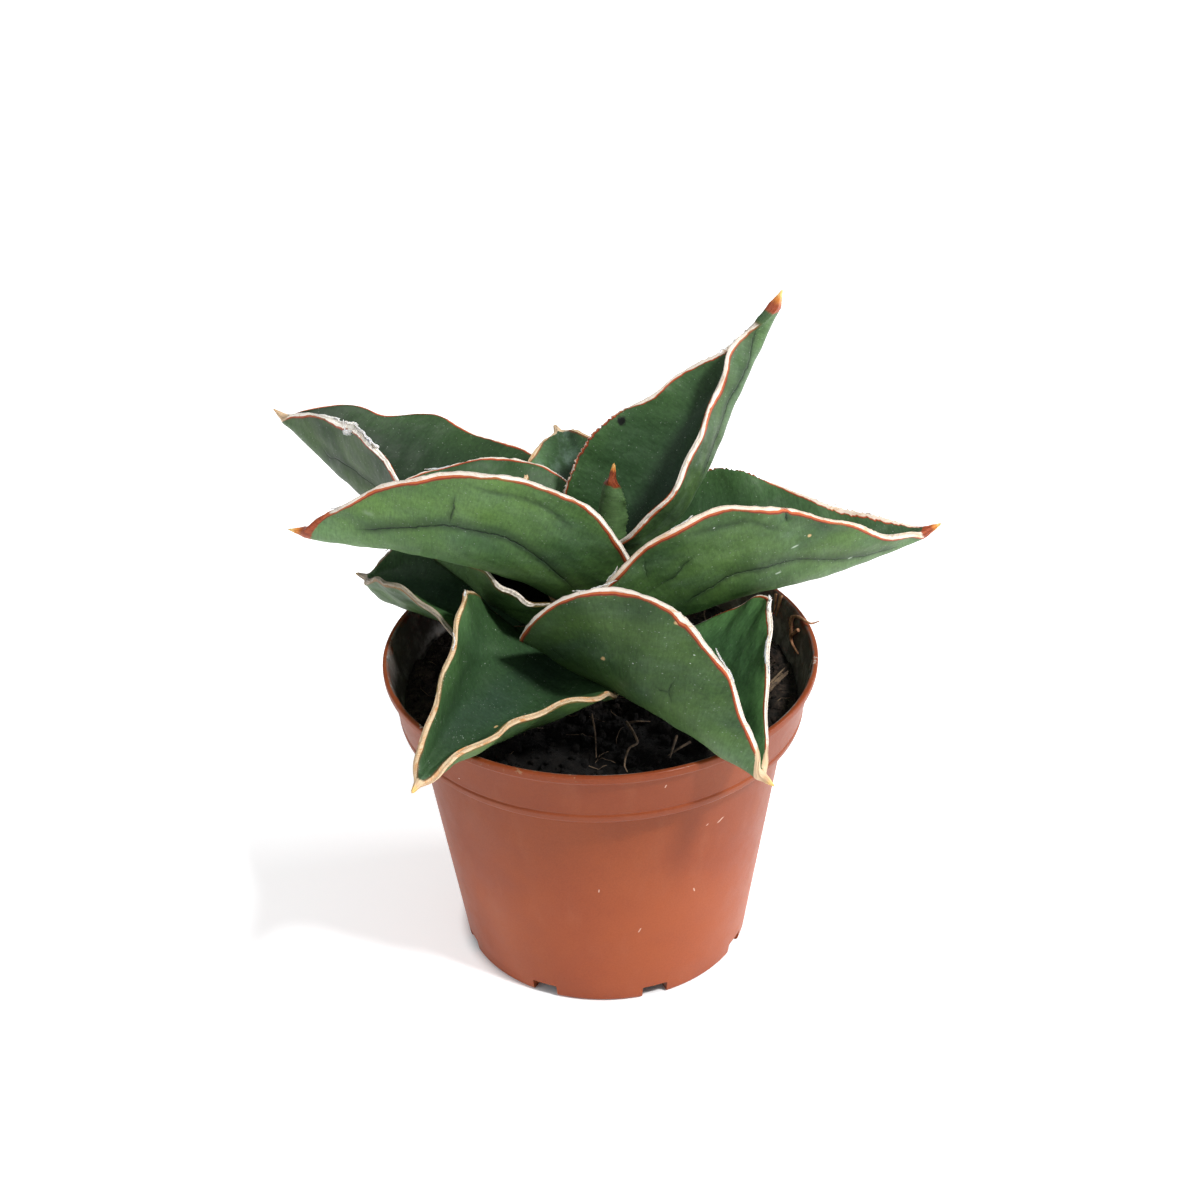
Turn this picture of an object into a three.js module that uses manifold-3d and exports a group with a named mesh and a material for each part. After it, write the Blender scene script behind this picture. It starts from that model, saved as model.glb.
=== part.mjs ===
// A young samurai snake plant in a small round nursery pot.
//
// Short, thick, channelled leaves clasp a hidden stem in a loose rosette. Every leaf is folded along
// its keel, ends in a hard spine and has a thin papery margin. The pot is tapered plastic with a
// stepped collar and eight drain slots in its bottom corner, filled with peat to just under the rim.
//
// Units are millimetres. +Z is up, -Y is the front, and the origin is the centre of the pot's base.

import * as THREE from 'three';
import { mergeVertices } from 'three/addons/utils/BufferGeometryUtils.js';
import Module from 'manifold-3d';

const wasm = await Module();
wasm.setup();

// Driving dimensions of the pot

const RIM_RADIUS = 42.5;
const POT_HEIGHT = 64;
const BASE_RADIUS = 28.4;
const WALL = 1.1;
const FLOOR_THICKNESS = 1.4;
const BASE_ROUNDING = 0.9;
const COLLAR_DROP = 12.4;
const COLLAR_STEP = 1.3;
const COLLAR_TAPER = 2.25;
const UNDERCUT_WIDTH = 0.6;
const UNDERCUT_SLOPE = 0.3;
const INSIDE_STEP_RISE = 0.9;
const LIP_DEPTH = 1.5;
const LIP_OVERHANG = 0.9;
const LIP_SLOPE = 0.6;
const RIM_ROUNDING = 0.3;
const RIM_TAPER = 0.2;
const BODY_TOP_RADIUS = 36.5;
const POT_SECTORS = 48;

const SLOT_COUNT = 8;
const SLOT_WIDTH = 5.2;
const SLOT_HEIGHT = 2.8;
const SLOT_REACH = 4;
const FIRST_SLOT_AZIMUTH = 244;

// Driving dimensions of the peat and the stem

const PEAT_LEVEL = 55.2;
const PEAT_RELIEF = 1;
const PEAT_CLEARANCE = 0.15;
const PEAT_RINGS = 8;
const PEAT_SECTORS = 32;

const STEM_CENTRE = new THREE.Vector2(0, 2);
const STEM_RADIUS = 5.2;
const STEM_TOP_SHARE = 0.75;
const STEM_SIDES = 20;
const STEM_BOTTOM = 44;
const STEM_TOP = 74;
const STEM_HOLE_CLEARANCE = 0.15;

// Driving dimensions that all the leaves share

const KEEL_THICKNESS = 3.6;
const SPINE_THICKNESS = 2.2;
const MARGIN_THICKNESS = 1.1;
const MARGIN_ROUNDING = 0.35;
const SPINE_LENGTH = 4.5;
const BLADE_STOPS_SHORT = 2;
const SPINE_HALF_WIDTH = 1.3;
const SPINE_END = 0.35;
const SPINE_POINT = 0.4;
const BELLY_EASE = 0.12;
const CLASP_HALF_WIDTH = 5;
const CLASP_FOLD = 60;
const FOLD_SPREAD = 0.5;
const CHANNEL_CLOSES_BELOW = 4.5;
const CLASP_ROWS = 3;
const BLADE_ROWS = 18;
const HALF_COLUMNS = 5;
const STRIPS_PER_COLUMN = 8;
const STEPS_PER_ROW = 10;
const NEIGHBOUR_GAP = 0.3;
const SHORTEST_EDGE = 0.03;

const CLASP_PULL = 0.4;
const CLASP_LEAN = 0.1;
const CLASP_GROWTH = 2;
const ROOT_DEPTH = 0.9;

const MARGIN_WAVE = 0.35;
const MARGIN_WAVES = 5.5;

// The leaves, in the order in which they keep their shape where two of them meet: a leaf that lies
// inside another one's clasp comes after it.
//
// seat is the keel's point where the blade leaves the clasp, and root is the height at which the
// clasp starts on the stem. heading (degrees, 0 is +X and 90 is +Y) goes from the seat to the tip.
// rise (degrees above level), roll and fold (degrees that each half is turned up from the keel's
// plane) are given at the seat, half-way and the tip. base is each half's share of the full half
// width at the seat, for the left half and the right half as one looks from the stem to the tip.
// open turns a half outwards at the seat by so many degrees, fading away by half-way, left then right.
// belly is where along the blade it is widest, and taper bends the margins on towards the tip.
// swells lists places where a margin bulges: [half, place along the blade, millimetres, spread].

const LEFT = 0;
const RIGHT = 1;

const LEAVES = [
  {
    name: 'leaf_front_right',
    seat: [5, -7.7, 65.3], root: 58, length: 47, heading: [288, 321],
    rise: [6, 1, -23], roll: [-2, -25, -24], fold: [34, 79, 84], open: [0, 0],
    halfWidth: 31, base: [0.45, 0.77], belly: 0.37, taper: 1.35,
    swells: [
      [LEFT, 0.75, -0.6, 0.07], [RIGHT, 0.4, -0.6, 0.07], [RIGHT, 0.7, 0.6, 0.05], [RIGHT, 0.8, -0.5, 0.04],
    ],
  },
  {
    name: 'leaf_right_front',
    seat: [4.5, 0.5, 70.2], root: 60, length: 65, heading: [353, 380],
    rise: [30, 10, 18], roll: [5, -19, -3], fold: [61, 62, 40], open: [36, 0],
    halfWidth: 30, base: [0.5, 0.68], belly: 0.35, taper: 1.12,
    swells: [[LEFT, 0.7, -0.7, 0.1], [RIGHT, 0.7, 0.8, 0.05], [RIGHT, 0.8, -1, 0.04]],
  },
  {
    name: 'leaf_left_front',
    seat: [-4, 4, 74], root: 62, length: 58.5, heading: [189, 168],
    rise: [39, 13, 5], roll: [7, 27, 23], fold: [62, 60, 58], open: [0, 0],
    halfWidth: 28.5, base: [0.7, 0.6], belly: 0.24, taper: 1.7,
    swells: [
      [LEFT, 0.22, 0.6, 0.06], [LEFT, 0.7, 0.5, 0.06], [RIGHT, 0.23, -0.4, 0.05], [RIGHT, 0.35, 0.6, 0.06],
    ],
  },
  {
    name: 'leaf_left_under',
    seat: [-3, 5, 64], root: 57, length: 37, heading: [168, 172],
    rise: [30, 31, 33], roll: [25, -1, 20], fold: [60, 48, 69], open: [0, 0],
    halfWidth: 19, base: [0.75, 0.4], belly: 0.35, taper: 1.7,
    swells: [[LEFT, 0.31, 0.8, 0.05], [LEFT, 0.5, 0.6, 0.12]],
  },
  {
    name: 'leaf_front_left',
    seat: [-7.7, -4.5, 62.8], root: 58, length: 52, heading: [230, 248],
    rise: [9, 4.5, -4], roll: [-7, -23, -16], fold: [17, 65, 58], open: [0, 0],
    halfWidth: 23.5, base: [0.56, 0.6], belly: 0.34, taper: 1.05,
    swells: [
      [LEFT, 0.36, 0.6, 0.08], [LEFT, 0.7, 1.1, 0.04], [LEFT, 0.79, -0.8, 0.04], [RIGHT, 0.35, -0.6, 0.08],
      [RIGHT, 0.87, 1, 0.04],
    ],
  },
  {
    name: 'leaf_heart',
    seat: [-0.8, 0.8, 82], root: 66, length: 21.8, heading: [220, 222],
    rise: [113, 104, 100], roll: [0, 8, 8], fold: [64, 66, 60], open: [0, 0],
    halfWidth: 4.6, base: [0.95, 0.95], belly: 0.3, taper: 2.2,
    swells: [],
  },
  {
    name: 'leaf_upright',
    seat: [1, 8, 73], root: 63, length: 68, heading: [27, 28],
    rise: [50, 53, 63], roll: [-24, 3, -64], fold: [67, 60, 77], open: [0, 0],
    halfWidth: 20.3, base: [0.77, 0.6], belly: 0.35, taper: 1,
    swells: [
      [LEFT, 0.55, -0.8, 0.06], [LEFT, 0.78, -1.3, 0.06], [RIGHT, 0.66, -2.2, 0.06], [RIGHT, 0.79, 1.6, 0.04],
    ],
  },
  {
    name: 'leaf_left_back',
    seat: [-6, 16.8, 63], root: 59, length: 77, heading: [143.5, 152.5],
    rise: [2, 23.5, 30.5], roll: [-23, 18, 28], fold: [70, 46, 55], open: [0, 0],
    halfWidth: 29, base: [0.37, 0.78], belly: 0.52, taper: 2.1,
    swells: [
      [LEFT, 0.7, 1, 0.05], [LEFT, 0.79, -1.2, 0.04], [RIGHT, 0.43, 0.6, 0.05], [RIGHT, 0.56, -0.5, 0.05],
      [RIGHT, 0.7, 1.2, 0.05], [RIGHT, 0.79, -2, 0.04], [RIGHT, 0.9, 1.8, 0.06],
    ],
  },
  {
    name: 'leaf_left_low',
    seat: [-9.8, 5.6, 62], root: 58, length: 45.5, heading: [151, 150],
    rise: [25, 0.5, 7], roll: [-20, 0, -24], fold: [26, 48, 66], open: [0, 0],
    halfWidth: 24, base: [0.47, 0.5], belly: 0.39, taper: 2,
    swells: [[LEFT, 0.42, -1.3, 0.08], [LEFT, 0.79, 0.8, 0.05]],
  },
  {
    name: 'leaf_back',
    seat: [0, 7, 71], root: 60, length: 44, heading: [99, 105],
    rise: [37, 29, 4], roll: [0, -3, -16], fold: [35, 41, 53], open: [0, 0],
    halfWidth: 15, base: [0.75, 0.75], belly: 0.38, taper: 1.7,
    swells: [[RIGHT, 0.79, -0.8, 0.05]],
  },
];

// Materials

const terracottaPlastic = new THREE.MeshStandardMaterial({ color: 0xb65c3c, roughness: 0.55, metalness: 0 });
const peat = new THREE.MeshStandardMaterial({ color: 0x2b211c, roughness: 1, metalness: 0 });
const stemGreen = new THREE.MeshStandardMaterial({ color: 0x6f7f52, roughness: 0.7, metalness: 0 });

function leafMaterial() {
  return new THREE.MeshStandardMaterial({ color: 0x4d6b49, roughness: 0.55, metalness: 0 });
}

// Curves that the forms are made of

const radians = THREE.MathUtils.degToRad;
const smooth = (x) => THREE.MathUtils.smoothstep(x, 0, 1);
const mix = THREE.MathUtils.lerp;

// The parabola through three values given at 0, a half and 1.
function through(values, u) {
  const [start, middle, end] = values;
  return start * (1 - u) * (1 - 2 * u) + 4 * middle * u * (1 - u) + end * u * (2 * u - 1);
}

// Solids

function toManifold(geometry) {
  const plain = new THREE.BufferGeometry();
  plain.setAttribute('position', geometry.getAttribute('position'));
  plain.setIndex(geometry.getIndex());
  const merged = mergeVertices(plain, 1e-4);
  const triVerts = [];
  const index = merged.getIndex().array;
  for (let i = 0; i < index.length; i += 3) {
    const [a, b, c] = [index[i], index[i + 1], index[i + 2]];
    if (a !== b && b !== c && c !== a) triVerts.push(a, b, c);
  }
  return new wasm.Manifold(new wasm.Mesh({
    numProp: 3,
    vertProperties: new Float32Array(merged.getAttribute('position').array),
    triVerts: new Uint32Array(triVerts),
  }));
}

function toGeometry(solid) {
  const mesh = solid.getMesh();
  const geometry = new THREE.BufferGeometry();
  geometry.setAttribute('position', new THREE.BufferAttribute(mesh.vertProperties, 3));
  geometry.setIndex(new THREE.BufferAttribute(mesh.triVerts, 1));
  geometry.computeVertexNormals();
  return geometry;
}

function largestBody(solid) {
  return solid.decompose().reduce((best, body) => (body.volume() > best.volume() ? body : best));
}

// The same solid with the ends of every edge shorter than SHORTEST_EDGE drawn together.
function withoutShortEdges(solid) {
  const geometry = toGeometry(solid);
  const places = geometry.getAttribute('position');
  const index = geometry.getIndex().array;
  const standIn = Array.from({ length: places.count }, (_, vertex) => vertex);
  const kept = (vertex) => (standIn[vertex] === vertex ? vertex : kept(standIn[vertex]));
  const [from, to] = [new THREE.Vector3(), new THREE.Vector3()];
  for (let i = 0; i < index.length; i += 1) {
    const after = i % 3 === 2 ? i - 2 : i + 1;
    from.fromBufferAttribute(places, index[i]);
    to.fromBufferAttribute(places, index[after]);
    if (from.distanceTo(to) < SHORTEST_EDGE) standIn[kept(index[i])] = kept(index[after]);
  }
  geometry.setIndex(Array.from(index, kept));
  return toManifold(geometry);
}

// A solid turned about the Z axis from a closed outline of [radius, height] pairs.
function turned(outline, sectors) {
  const points = outline.map(([radius, height]) => new THREE.Vector2(radius, height));
  const geometry = new THREE.LatheGeometry(points, sectors);
  geometry.rotateX(Math.PI / 2);
  return toManifold(geometry);
}

// The pot

function potBody() {
  const collarFoot = POT_HEIGHT - COLLAR_DROP;
  const bodyTop = collarFoot - COLLAR_STEP;
  const lipRadius = RIM_RADIUS - LIP_OVERHANG;
  const collarRadius = lipRadius - COLLAR_TAPER;
  return turned([
    [0, 0],
    [BASE_RADIUS - BASE_ROUNDING, 0],
    [BASE_RADIUS, BASE_ROUNDING],
    [BODY_TOP_RADIUS, bodyTop],
    [BODY_TOP_RADIUS + UNDERCUT_WIDTH, collarFoot - UNDERCUT_SLOPE],
    [collarRadius, collarFoot],
    [lipRadius, POT_HEIGHT - LIP_DEPTH - LIP_SLOPE],
    [RIM_RADIUS - RIM_TAPER, POT_HEIGHT - LIP_DEPTH],
    [RIM_RADIUS, POT_HEIGHT - RIM_ROUNDING],
    [RIM_RADIUS - RIM_ROUNDING, POT_HEIGHT],
    [RIM_RADIUS - WALL + RIM_TAPER, POT_HEIGHT],
    [RIM_RADIUS - WALL, POT_HEIGHT - RIM_ROUNDING],
    [collarRadius - WALL, collarFoot + WALL],
    [BODY_TOP_RADIUS - WALL, bodyTop + INSIDE_STEP_RISE],
    [BASE_RADIUS - WALL, FLOOR_THICKNESS],
    [0, FLOOR_THICKNESS],
  ], POT_SECTORS);
}

function drainSlots() {
  const slots = [];
  for (let i = 0; i < SLOT_COUNT; i += 1) {
    const box = new THREE.BoxGeometry(2 * SLOT_REACH, SLOT_WIDTH, 2 * SLOT_HEIGHT);
    box.translate(BASE_RADIUS, 0, 0);
    box.rotateZ(radians(FIRST_SLOT_AZIMUTH + (360 / SLOT_COUNT) * i));
    slots.push(toManifold(box));
  }
  return wasm.Manifold.union(slots);
}

// The peat, with the stem's hole

function peatHeight(x, y) {
  const lumps = Math.sin(0.31 * x + 0.7) * Math.sin(0.27 * y - 0.4) + 0.5 * Math.sin(0.6 * x + 0.5 * y);
  return PEAT_LEVEL + PEAT_RELIEF * 0.6 * lumps;
}

// The peat's side follows the pot's wall from the floor up into the collar.
function peatOutline() {
  const collarFoot = POT_HEIGHT - COLLAR_DROP;
  const footRadius = RIM_RADIUS - LIP_OVERHANG - COLLAR_TAPER - WALL - PEAT_CLEARANCE;
  const edge = PEAT_LEVEL - PEAT_RELIEF;
  const widening = COLLAR_TAPER * ((edge - collarFoot - WALL) / (COLLAR_DROP - LIP_DEPTH));
  return [
    [BASE_RADIUS - WALL - PEAT_CLEARANCE, FLOOR_THICKNESS + PEAT_CLEARANCE],
    [BODY_TOP_RADIUS - WALL - PEAT_CLEARANCE, collarFoot - COLLAR_STEP + INSIDE_STEP_RISE],
    [footRadius, collarFoot + WALL + PEAT_CLEARANCE],
    [footRadius + widening, edge],
  ];
}

function peatFill() {
  const outline = peatOutline();
  const bottom = outline[0][1];
  const rimRadius = outline[outline.length - 1][0];
  const positions = [];
  const addRing = (radius, heightAt) => {
    for (let s = 0; s < PEAT_SECTORS; s += 1) {
      const angle = (2 * Math.PI * s) / PEAT_SECTORS;
      const [x, y] = [radius * Math.cos(angle), radius * Math.sin(angle)];
      positions.push(x, y, heightAt(x, y));
    }
  };
  for (const [radius, height] of outline) addRing(radius, () => height);
  for (let r = PEAT_RINGS; r > 0; r -= 1) addRing((rimRadius * r) / PEAT_RINGS, peatHeight);
  const rings = outline.length + PEAT_RINGS;
  const top = positions.length / 3;
  positions.push(0, 0, peatHeight(0, 0), 0, 0, bottom);
  const index = [];
  for (let s = 0; s < PEAT_SECTORS; s += 1) {
    const next = (s + 1) % PEAT_SECTORS;
    for (let r = 0; r < rings - 1; r += 1) {
      const [a, b] = [r * PEAT_SECTORS + s, r * PEAT_SECTORS + next];
      index.push(a, b, b + PEAT_SECTORS, a, b + PEAT_SECTORS, a + PEAT_SECTORS);
    }
    index.push((rings - 1) * PEAT_SECTORS + s, (rings - 1) * PEAT_SECTORS + next, top);
    index.push(next, s, top + 1);
  }
  const geometry = new THREE.BufferGeometry();
  geometry.setAttribute('position', new THREE.Float32BufferAttribute(positions, 3));
  geometry.setIndex(index);
  return toManifold(geometry);
}

function stemPost(extra, bottom) {
  const length = STEM_TOP - bottom;
  const topRadius = STEM_RADIUS * STEM_TOP_SHARE;
  const post = new THREE.CylinderGeometry(topRadius + extra, STEM_RADIUS + extra, length, STEM_SIDES);
  post.rotateX(Math.PI / 2);
  post.translate(STEM_CENTRE.x, STEM_CENTRE.y, bottom + length / 2);
  return toManifold(post);
}

// The leaves

// Half width of the blade, as a share of its full half width, u of the way from the seat to the spine.
function widthShare(leaf, half, u) {
  if (u < leaf.belly) return mix(leaf.base[half], 1, Math.sin((Math.PI / 2) * (u / leaf.belly)));
  const past = Math.min((u - leaf.belly) / (1 - leaf.belly), 1);
  const eased = (Math.hypot(past, BELLY_EASE) - BELLY_EASE) / (Math.hypot(1, BELLY_EASE) - BELLY_EASE);
  return 1 - eased ** leaf.taper;
}

function swell(leaf, half, u) {
  return leaf.swells
    .filter(([onHalf]) => onHalf === half)
    .reduce((sum, [, place, size, spread]) => sum + size * Math.exp(-(((u - place) / spread) ** 2)), 0);
}

function direction(heading, rise) {
  return new THREE.Vector3(
    Math.cos(rise) * Math.cos(heading),
    Math.cos(rise) * Math.sin(heading),
    Math.sin(rise),
  );
}

// One direction times its share plus another times its share.
function combined(first, firstShare, second, secondShare) {
  return first.clone().multiplyScalar(firstShare).addScaledVector(second, secondShare);
}

// One station on the keel line: its place, the way sideways (to the left) and the way up out of the
// channel, with the roll turned in.
function station(place, along, heading, roll, rest) {
  const side = new THREE.Vector3(-Math.sin(heading), Math.cos(heading), 0);
  side.addScaledVector(along, -side.dot(along)).normalize();
  const up = new THREE.Vector3().crossVectors(along, side);
  const left = combined(side, Math.cos(roll), up, Math.sin(roll));
  const out = combined(up, Math.cos(roll), side, -Math.sin(roll));
  return { place, left, out, ...rest };
}

function claspStations(leaf) {
  const heading = radians(leaf.heading[0]);
  const seat = new THREE.Vector3(...leaf.seat);
  const along = direction(heading, radians(leaf.rise[0]));
  const bearing = Math.atan2(seat.y - STEM_CENTRE.y, seat.x - STEM_CENTRE.x);
  const root = new THREE.Vector3(
    STEM_CENTRE.x + STEM_RADIUS * ROOT_DEPTH * Math.cos(bearing),
    STEM_CENTRE.y + STEM_RADIUS * ROOT_DEPTH * Math.sin(bearing),
    leaf.root,
  );
  const pull = CLASP_PULL * root.distanceTo(seat);
  const curve = new THREE.CubicBezierCurve3(
    root,
    root.clone().addScaledVector(direction(heading, radians(mix(90, leaf.rise[0], CLASP_LEAN))), pull),
    seat.clone().addScaledVector(along, -pull),
    seat,
  );
  const stations = [];
  for (let row = 0; row < CLASP_ROWS; row += 1) {
    const v = row / CLASP_ROWS;
    const grown = v ** CLASP_GROWTH;
    stations.push(station(curve.getPoint(v), curve.getTangent(v), heading, radians(leaf.roll[0]) * grown, {
      u: 0,
      halfWidths: leaf.base.map((share) => mix(CLASP_HALF_WIDTH, leaf.halfWidth * share, grown)),
      folds: leaf.open.map((opened) => radians(mix(CLASP_FOLD, leaf.fold[0] - opened, grown))),
      keel: KEEL_THICKNESS,
      ripple: 0,
    }));
  }
  return stations;
}

function bladeStations(leaf) {
  const place = new THREE.Vector3(...leaf.seat);
  const total = BLADE_ROWS * STEPS_PER_ROW;
  const stations = [];
  for (let step = 0; step <= total; step += 1) {
    const u = step / total;
    const heading = radians(mix(leaf.heading[0], leaf.heading[1], u));
    const along = direction(heading, radians(through(leaf.rise, u)));
    if (step % STEPS_PER_ROW === 0) {
      const toTip = (1 - u) * leaf.length;
      const onBlade = (u * leaf.length) / (leaf.length - BLADE_STOPS_SHORT);
      const spine = Math.min(toTip / SPINE_LENGTH, 1);
      const halfWidths = [LEFT, RIGHT].map((half) => {
        const blade = leaf.halfWidth * widthShare(leaf, half, onBlade) + swell(leaf, half, u);
        return Math.max(blade, mix(SPINE_END, SPINE_HALF_WIDTH, spine));
      });
      const closing = smooth(Math.min(...halfWidths) / CHANNEL_CLOSES_BELOW);
      const opening = 1 - smooth(2 * u);
      const waves = Math.sin(2 * Math.PI * MARGIN_WAVES * u + leaf.seat[0]);
      stations.push(station(place.clone(), along, heading, radians(through(leaf.roll, u)), {
        u,
        halfWidths,
        folds: leaf.open.map((opened) => radians(through(leaf.fold, u) - opened * opening) * closing),
        keel: Math.min(
          mix(KEEL_THICKNESS, SPINE_THICKNESS, u ** 0.8),
          mix(2 * SPINE_END, KEEL_THICKNESS, spine),
        ),
        ripple: MARGIN_WAVE * waves * smooth(6 * u) * smooth(5 - 5 * u),
      }));
    }
    place.addScaledVector(along, leaf.length / total);
  }
  return stations;
}

// Points of one cross-section: outer face, inner face and the rounded margins between them. Each half
// is stepped out from the keel in narrow strips, and every few strips a column of points is kept.
function crossSection(at, grow) {
  const outer = [];
  const inner = [];
  const margins = [];
  const strips = HALF_COLUMNS * STRIPS_PER_COLUMN;
  for (const half of [RIGHT, LEFT]) {
    const sign = half === LEFT ? 1 : -1;
    const stripWidth = at.halfWidths[half] / strips;
    const pairs = [];
    const middle = at.place.clone();
    for (let strip = 0; strip <= strips; strip += 1) {
      const t = strip / strips;
      const turn = at.folds[half] * smooth(t / FOLD_SPREAD);
      const across = combined(at.left, sign * Math.cos(turn), at.out, Math.sin(turn));
      if (strip % STRIPS_PER_COLUMN === 0) {
        const ripple = at.ripple * (half === LEFT ? 1 : -1) * t ** 3;
        const face = combined(at.left, -sign * Math.sin(turn), at.out, Math.cos(turn));
        const thickness = mix(at.keel, Math.min(MARGIN_THICKNESS, at.keel), t ** 1.3) / 2 + grow;
        pairs.push([
          middle.clone().addScaledVector(face, ripple - thickness),
          middle.clone().addScaledVector(face, ripple + thickness),
        ]);
        if (strip === strips) {
          const cap = MARGIN_ROUNDING + 2 * grow;
          margins[half] = middle.clone().addScaledVector(face, ripple).addScaledVector(across, cap);
        }
      }
      middle.addScaledVector(across, stripWidth);
    }
    // The keel belongs to both halves, so it is kept once.
    if (half === RIGHT) pairs.reverse().pop();
    for (const [below, above] of pairs) {
      outer.push(below);
      inner.push(above);
    }
  }
  return { outer, inner, margins };
}

// The columns of points across a leaf, and the points of one section: both faces and two margins.
const COLUMNS = 2 * HALF_COLUMNS + 1;
const SECTION_POINTS = 2 * COLUMNS + 2;
const outerAt = (row, column) => row * SECTION_POINTS + column;
const innerAt = (row, column) => row * SECTION_POINTS + COLUMNS + column;
const marginAt = (row, half) => row * SECTION_POINTS + 2 * COLUMNS + (half === RIGHT ? 0 : 1);

// The surface between one section and the next. Both faces are split along the same diagonals.
function sectionToSection(row, index, quad) {
  const next = row + 1;
  const last = COLUMNS - 1;
  for (let column = 0; column < last; column += 1) {
    const after = column + 1;
    quad(outerAt(row, column), outerAt(next, column), outerAt(next, after), outerAt(row, after));
    index.push(innerAt(row, column), innerAt(next, column), innerAt(next, after));
    index.push(innerAt(row, column), innerAt(next, after), innerAt(row, after));
  }
  quad(outerAt(next, 0), outerAt(row, 0), marginAt(row, RIGHT), marginAt(next, RIGHT));
  quad(marginAt(next, RIGHT), marginAt(row, RIGHT), innerAt(row, 0), innerAt(next, 0));
  quad(outerAt(row, last), outerAt(next, last), marginAt(next, LEFT), marginAt(row, LEFT));
  quad(marginAt(row, LEFT), marginAt(next, LEFT), innerAt(next, last), innerAt(row, last));
}

// The flat end at the root, and the cone from the last section to the spine's point.
function closeRoot(index, quad) {
  for (let column = 0; column < COLUMNS - 1; column += 1) {
    quad(outerAt(0, column), outerAt(0, column + 1), innerAt(0, column + 1), innerAt(0, column));
  }
  index.push(outerAt(0, 0), marginAt(0, RIGHT), innerAt(0, 0));
  index.push(innerAt(0, COLUMNS - 1), marginAt(0, LEFT), outerAt(0, COLUMNS - 1));
}

function closeTip(row, index, point) {
  const loop = [];
  for (let column = 0; column < COLUMNS; column += 1) loop.push(outerAt(row, column));
  loop.push(marginAt(row, LEFT));
  for (let column = COLUMNS - 1; column >= 0; column -= 1) loop.push(innerAt(row, column));
  loop.push(marginAt(row, RIGHT));
  loop.forEach((vertex, i) => index.push(vertex, loop[(i + 1) % loop.length], point));
}

// The whole leaf as a closed solid, or a copy of it that is larger all round by grow.
function leafSolid(leaf, grow = 0) {
  const stations = [...claspStations(leaf), ...bladeStations(leaf)];
  const rows = stations.length;
  const tip = stations[rows - 1].place;
  const onward = tip.clone().sub(stations[rows - 2].place).normalize();
  const point = tip.clone().addScaledVector(onward, SPINE_POINT + grow);
  const positions = [];
  for (const at of stations) {
    const { outer, inner, margins } = crossSection(at, grow);
    for (const p of [...outer, ...inner, margins[RIGHT], margins[LEFT]]) positions.push(p.x, p.y, p.z);
  }
  positions.push(point.x, point.y, point.z);
  const index = [];
  const quad = (a, b, c, d) => index.push(a, c, b, a, d, c);
  for (let row = 0; row < rows - 1; row += 1) sectionToSection(row, index, quad);
  closeRoot(index, quad);
  closeTip(rows - 1, index, rows * SECTION_POINTS);
  const geometry = new THREE.BufferGeometry();
  geometry.setAttribute('position', new THREE.Float32BufferAttribute(positions, 3));
  geometry.setIndex(index);
  return toManifold(geometry);
}

// The whole plant in its pot

function named(name, geometry, material) {
  const mesh = new THREE.Mesh(geometry, material);
  mesh.name = name;
  return mesh;
}

const plant = new THREE.Group();

plant.add(named('pot', toGeometry(potBody().subtract(drainSlots())), terracottaPlastic));
plant.add(named('soil', toGeometry(peatFill().subtract(stemPost(STEM_HOLE_CLEARANCE, STEM_BOTTOM))), peat));

const stem = stemPost(0, STEM_BOTTOM + 0.1);
let taken = stemPost(NEIGHBOUR_GAP, STEM_BOTTOM);
plant.add(named('stem', toGeometry(stem), stemGreen));

for (const leaf of LEAVES) {
  const solid = withoutShortEdges(largestBody(leafSolid(leaf).subtract(taken)));
  plant.add(named(leaf.name, toGeometry(solid), leafMaterial()));
  taken = taken.add(leafSolid(leaf)).add(leafSolid(leaf, NEIGHBOUR_GAP));
}

export default plant;
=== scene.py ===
"""A young samurai snake plant in a small round nursery pot.

Ten thick, folded leaves clasp a short stem in a loose rosette. Each has a papery white margin with a
red-brown line inside it and ends in a hard spine. The pot is terracotta-coloured plastic, filled with
dark peat that carries fine roots.

Lengths in the classes are millimetres and angles are degrees. Meshes are made in metres, in the
frame's own axes: +Z up, -Y to the front, the origin at the centre of the pot's base.
"""

from __future__ import annotations

import logging
import math
import random
from dataclasses import dataclass, field
from enum import Enum

import bmesh
import bpy
import numpy as np
from mathutils import Matrix, Vector, noise


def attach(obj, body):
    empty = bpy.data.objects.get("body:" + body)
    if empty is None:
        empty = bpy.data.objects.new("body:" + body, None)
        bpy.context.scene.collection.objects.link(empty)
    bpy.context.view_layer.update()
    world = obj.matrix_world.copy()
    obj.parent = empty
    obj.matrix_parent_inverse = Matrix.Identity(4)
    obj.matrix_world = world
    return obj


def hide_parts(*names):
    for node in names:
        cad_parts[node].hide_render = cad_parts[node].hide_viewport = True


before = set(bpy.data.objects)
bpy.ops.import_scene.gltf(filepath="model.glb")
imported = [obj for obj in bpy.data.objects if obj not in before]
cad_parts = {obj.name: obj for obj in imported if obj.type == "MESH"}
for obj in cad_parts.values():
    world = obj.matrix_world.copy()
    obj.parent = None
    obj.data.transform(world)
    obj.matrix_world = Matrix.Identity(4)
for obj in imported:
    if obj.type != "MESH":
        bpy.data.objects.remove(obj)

LOG = logging.getLogger("snake_plant")
MM = 0.001
BODY = "root"

Colour = tuple[float, float, float, float]
Place = tuple[float, float, float]
Faces = list[tuple[int, ...]]
Rows = dict[str, np.ndarray]


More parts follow.
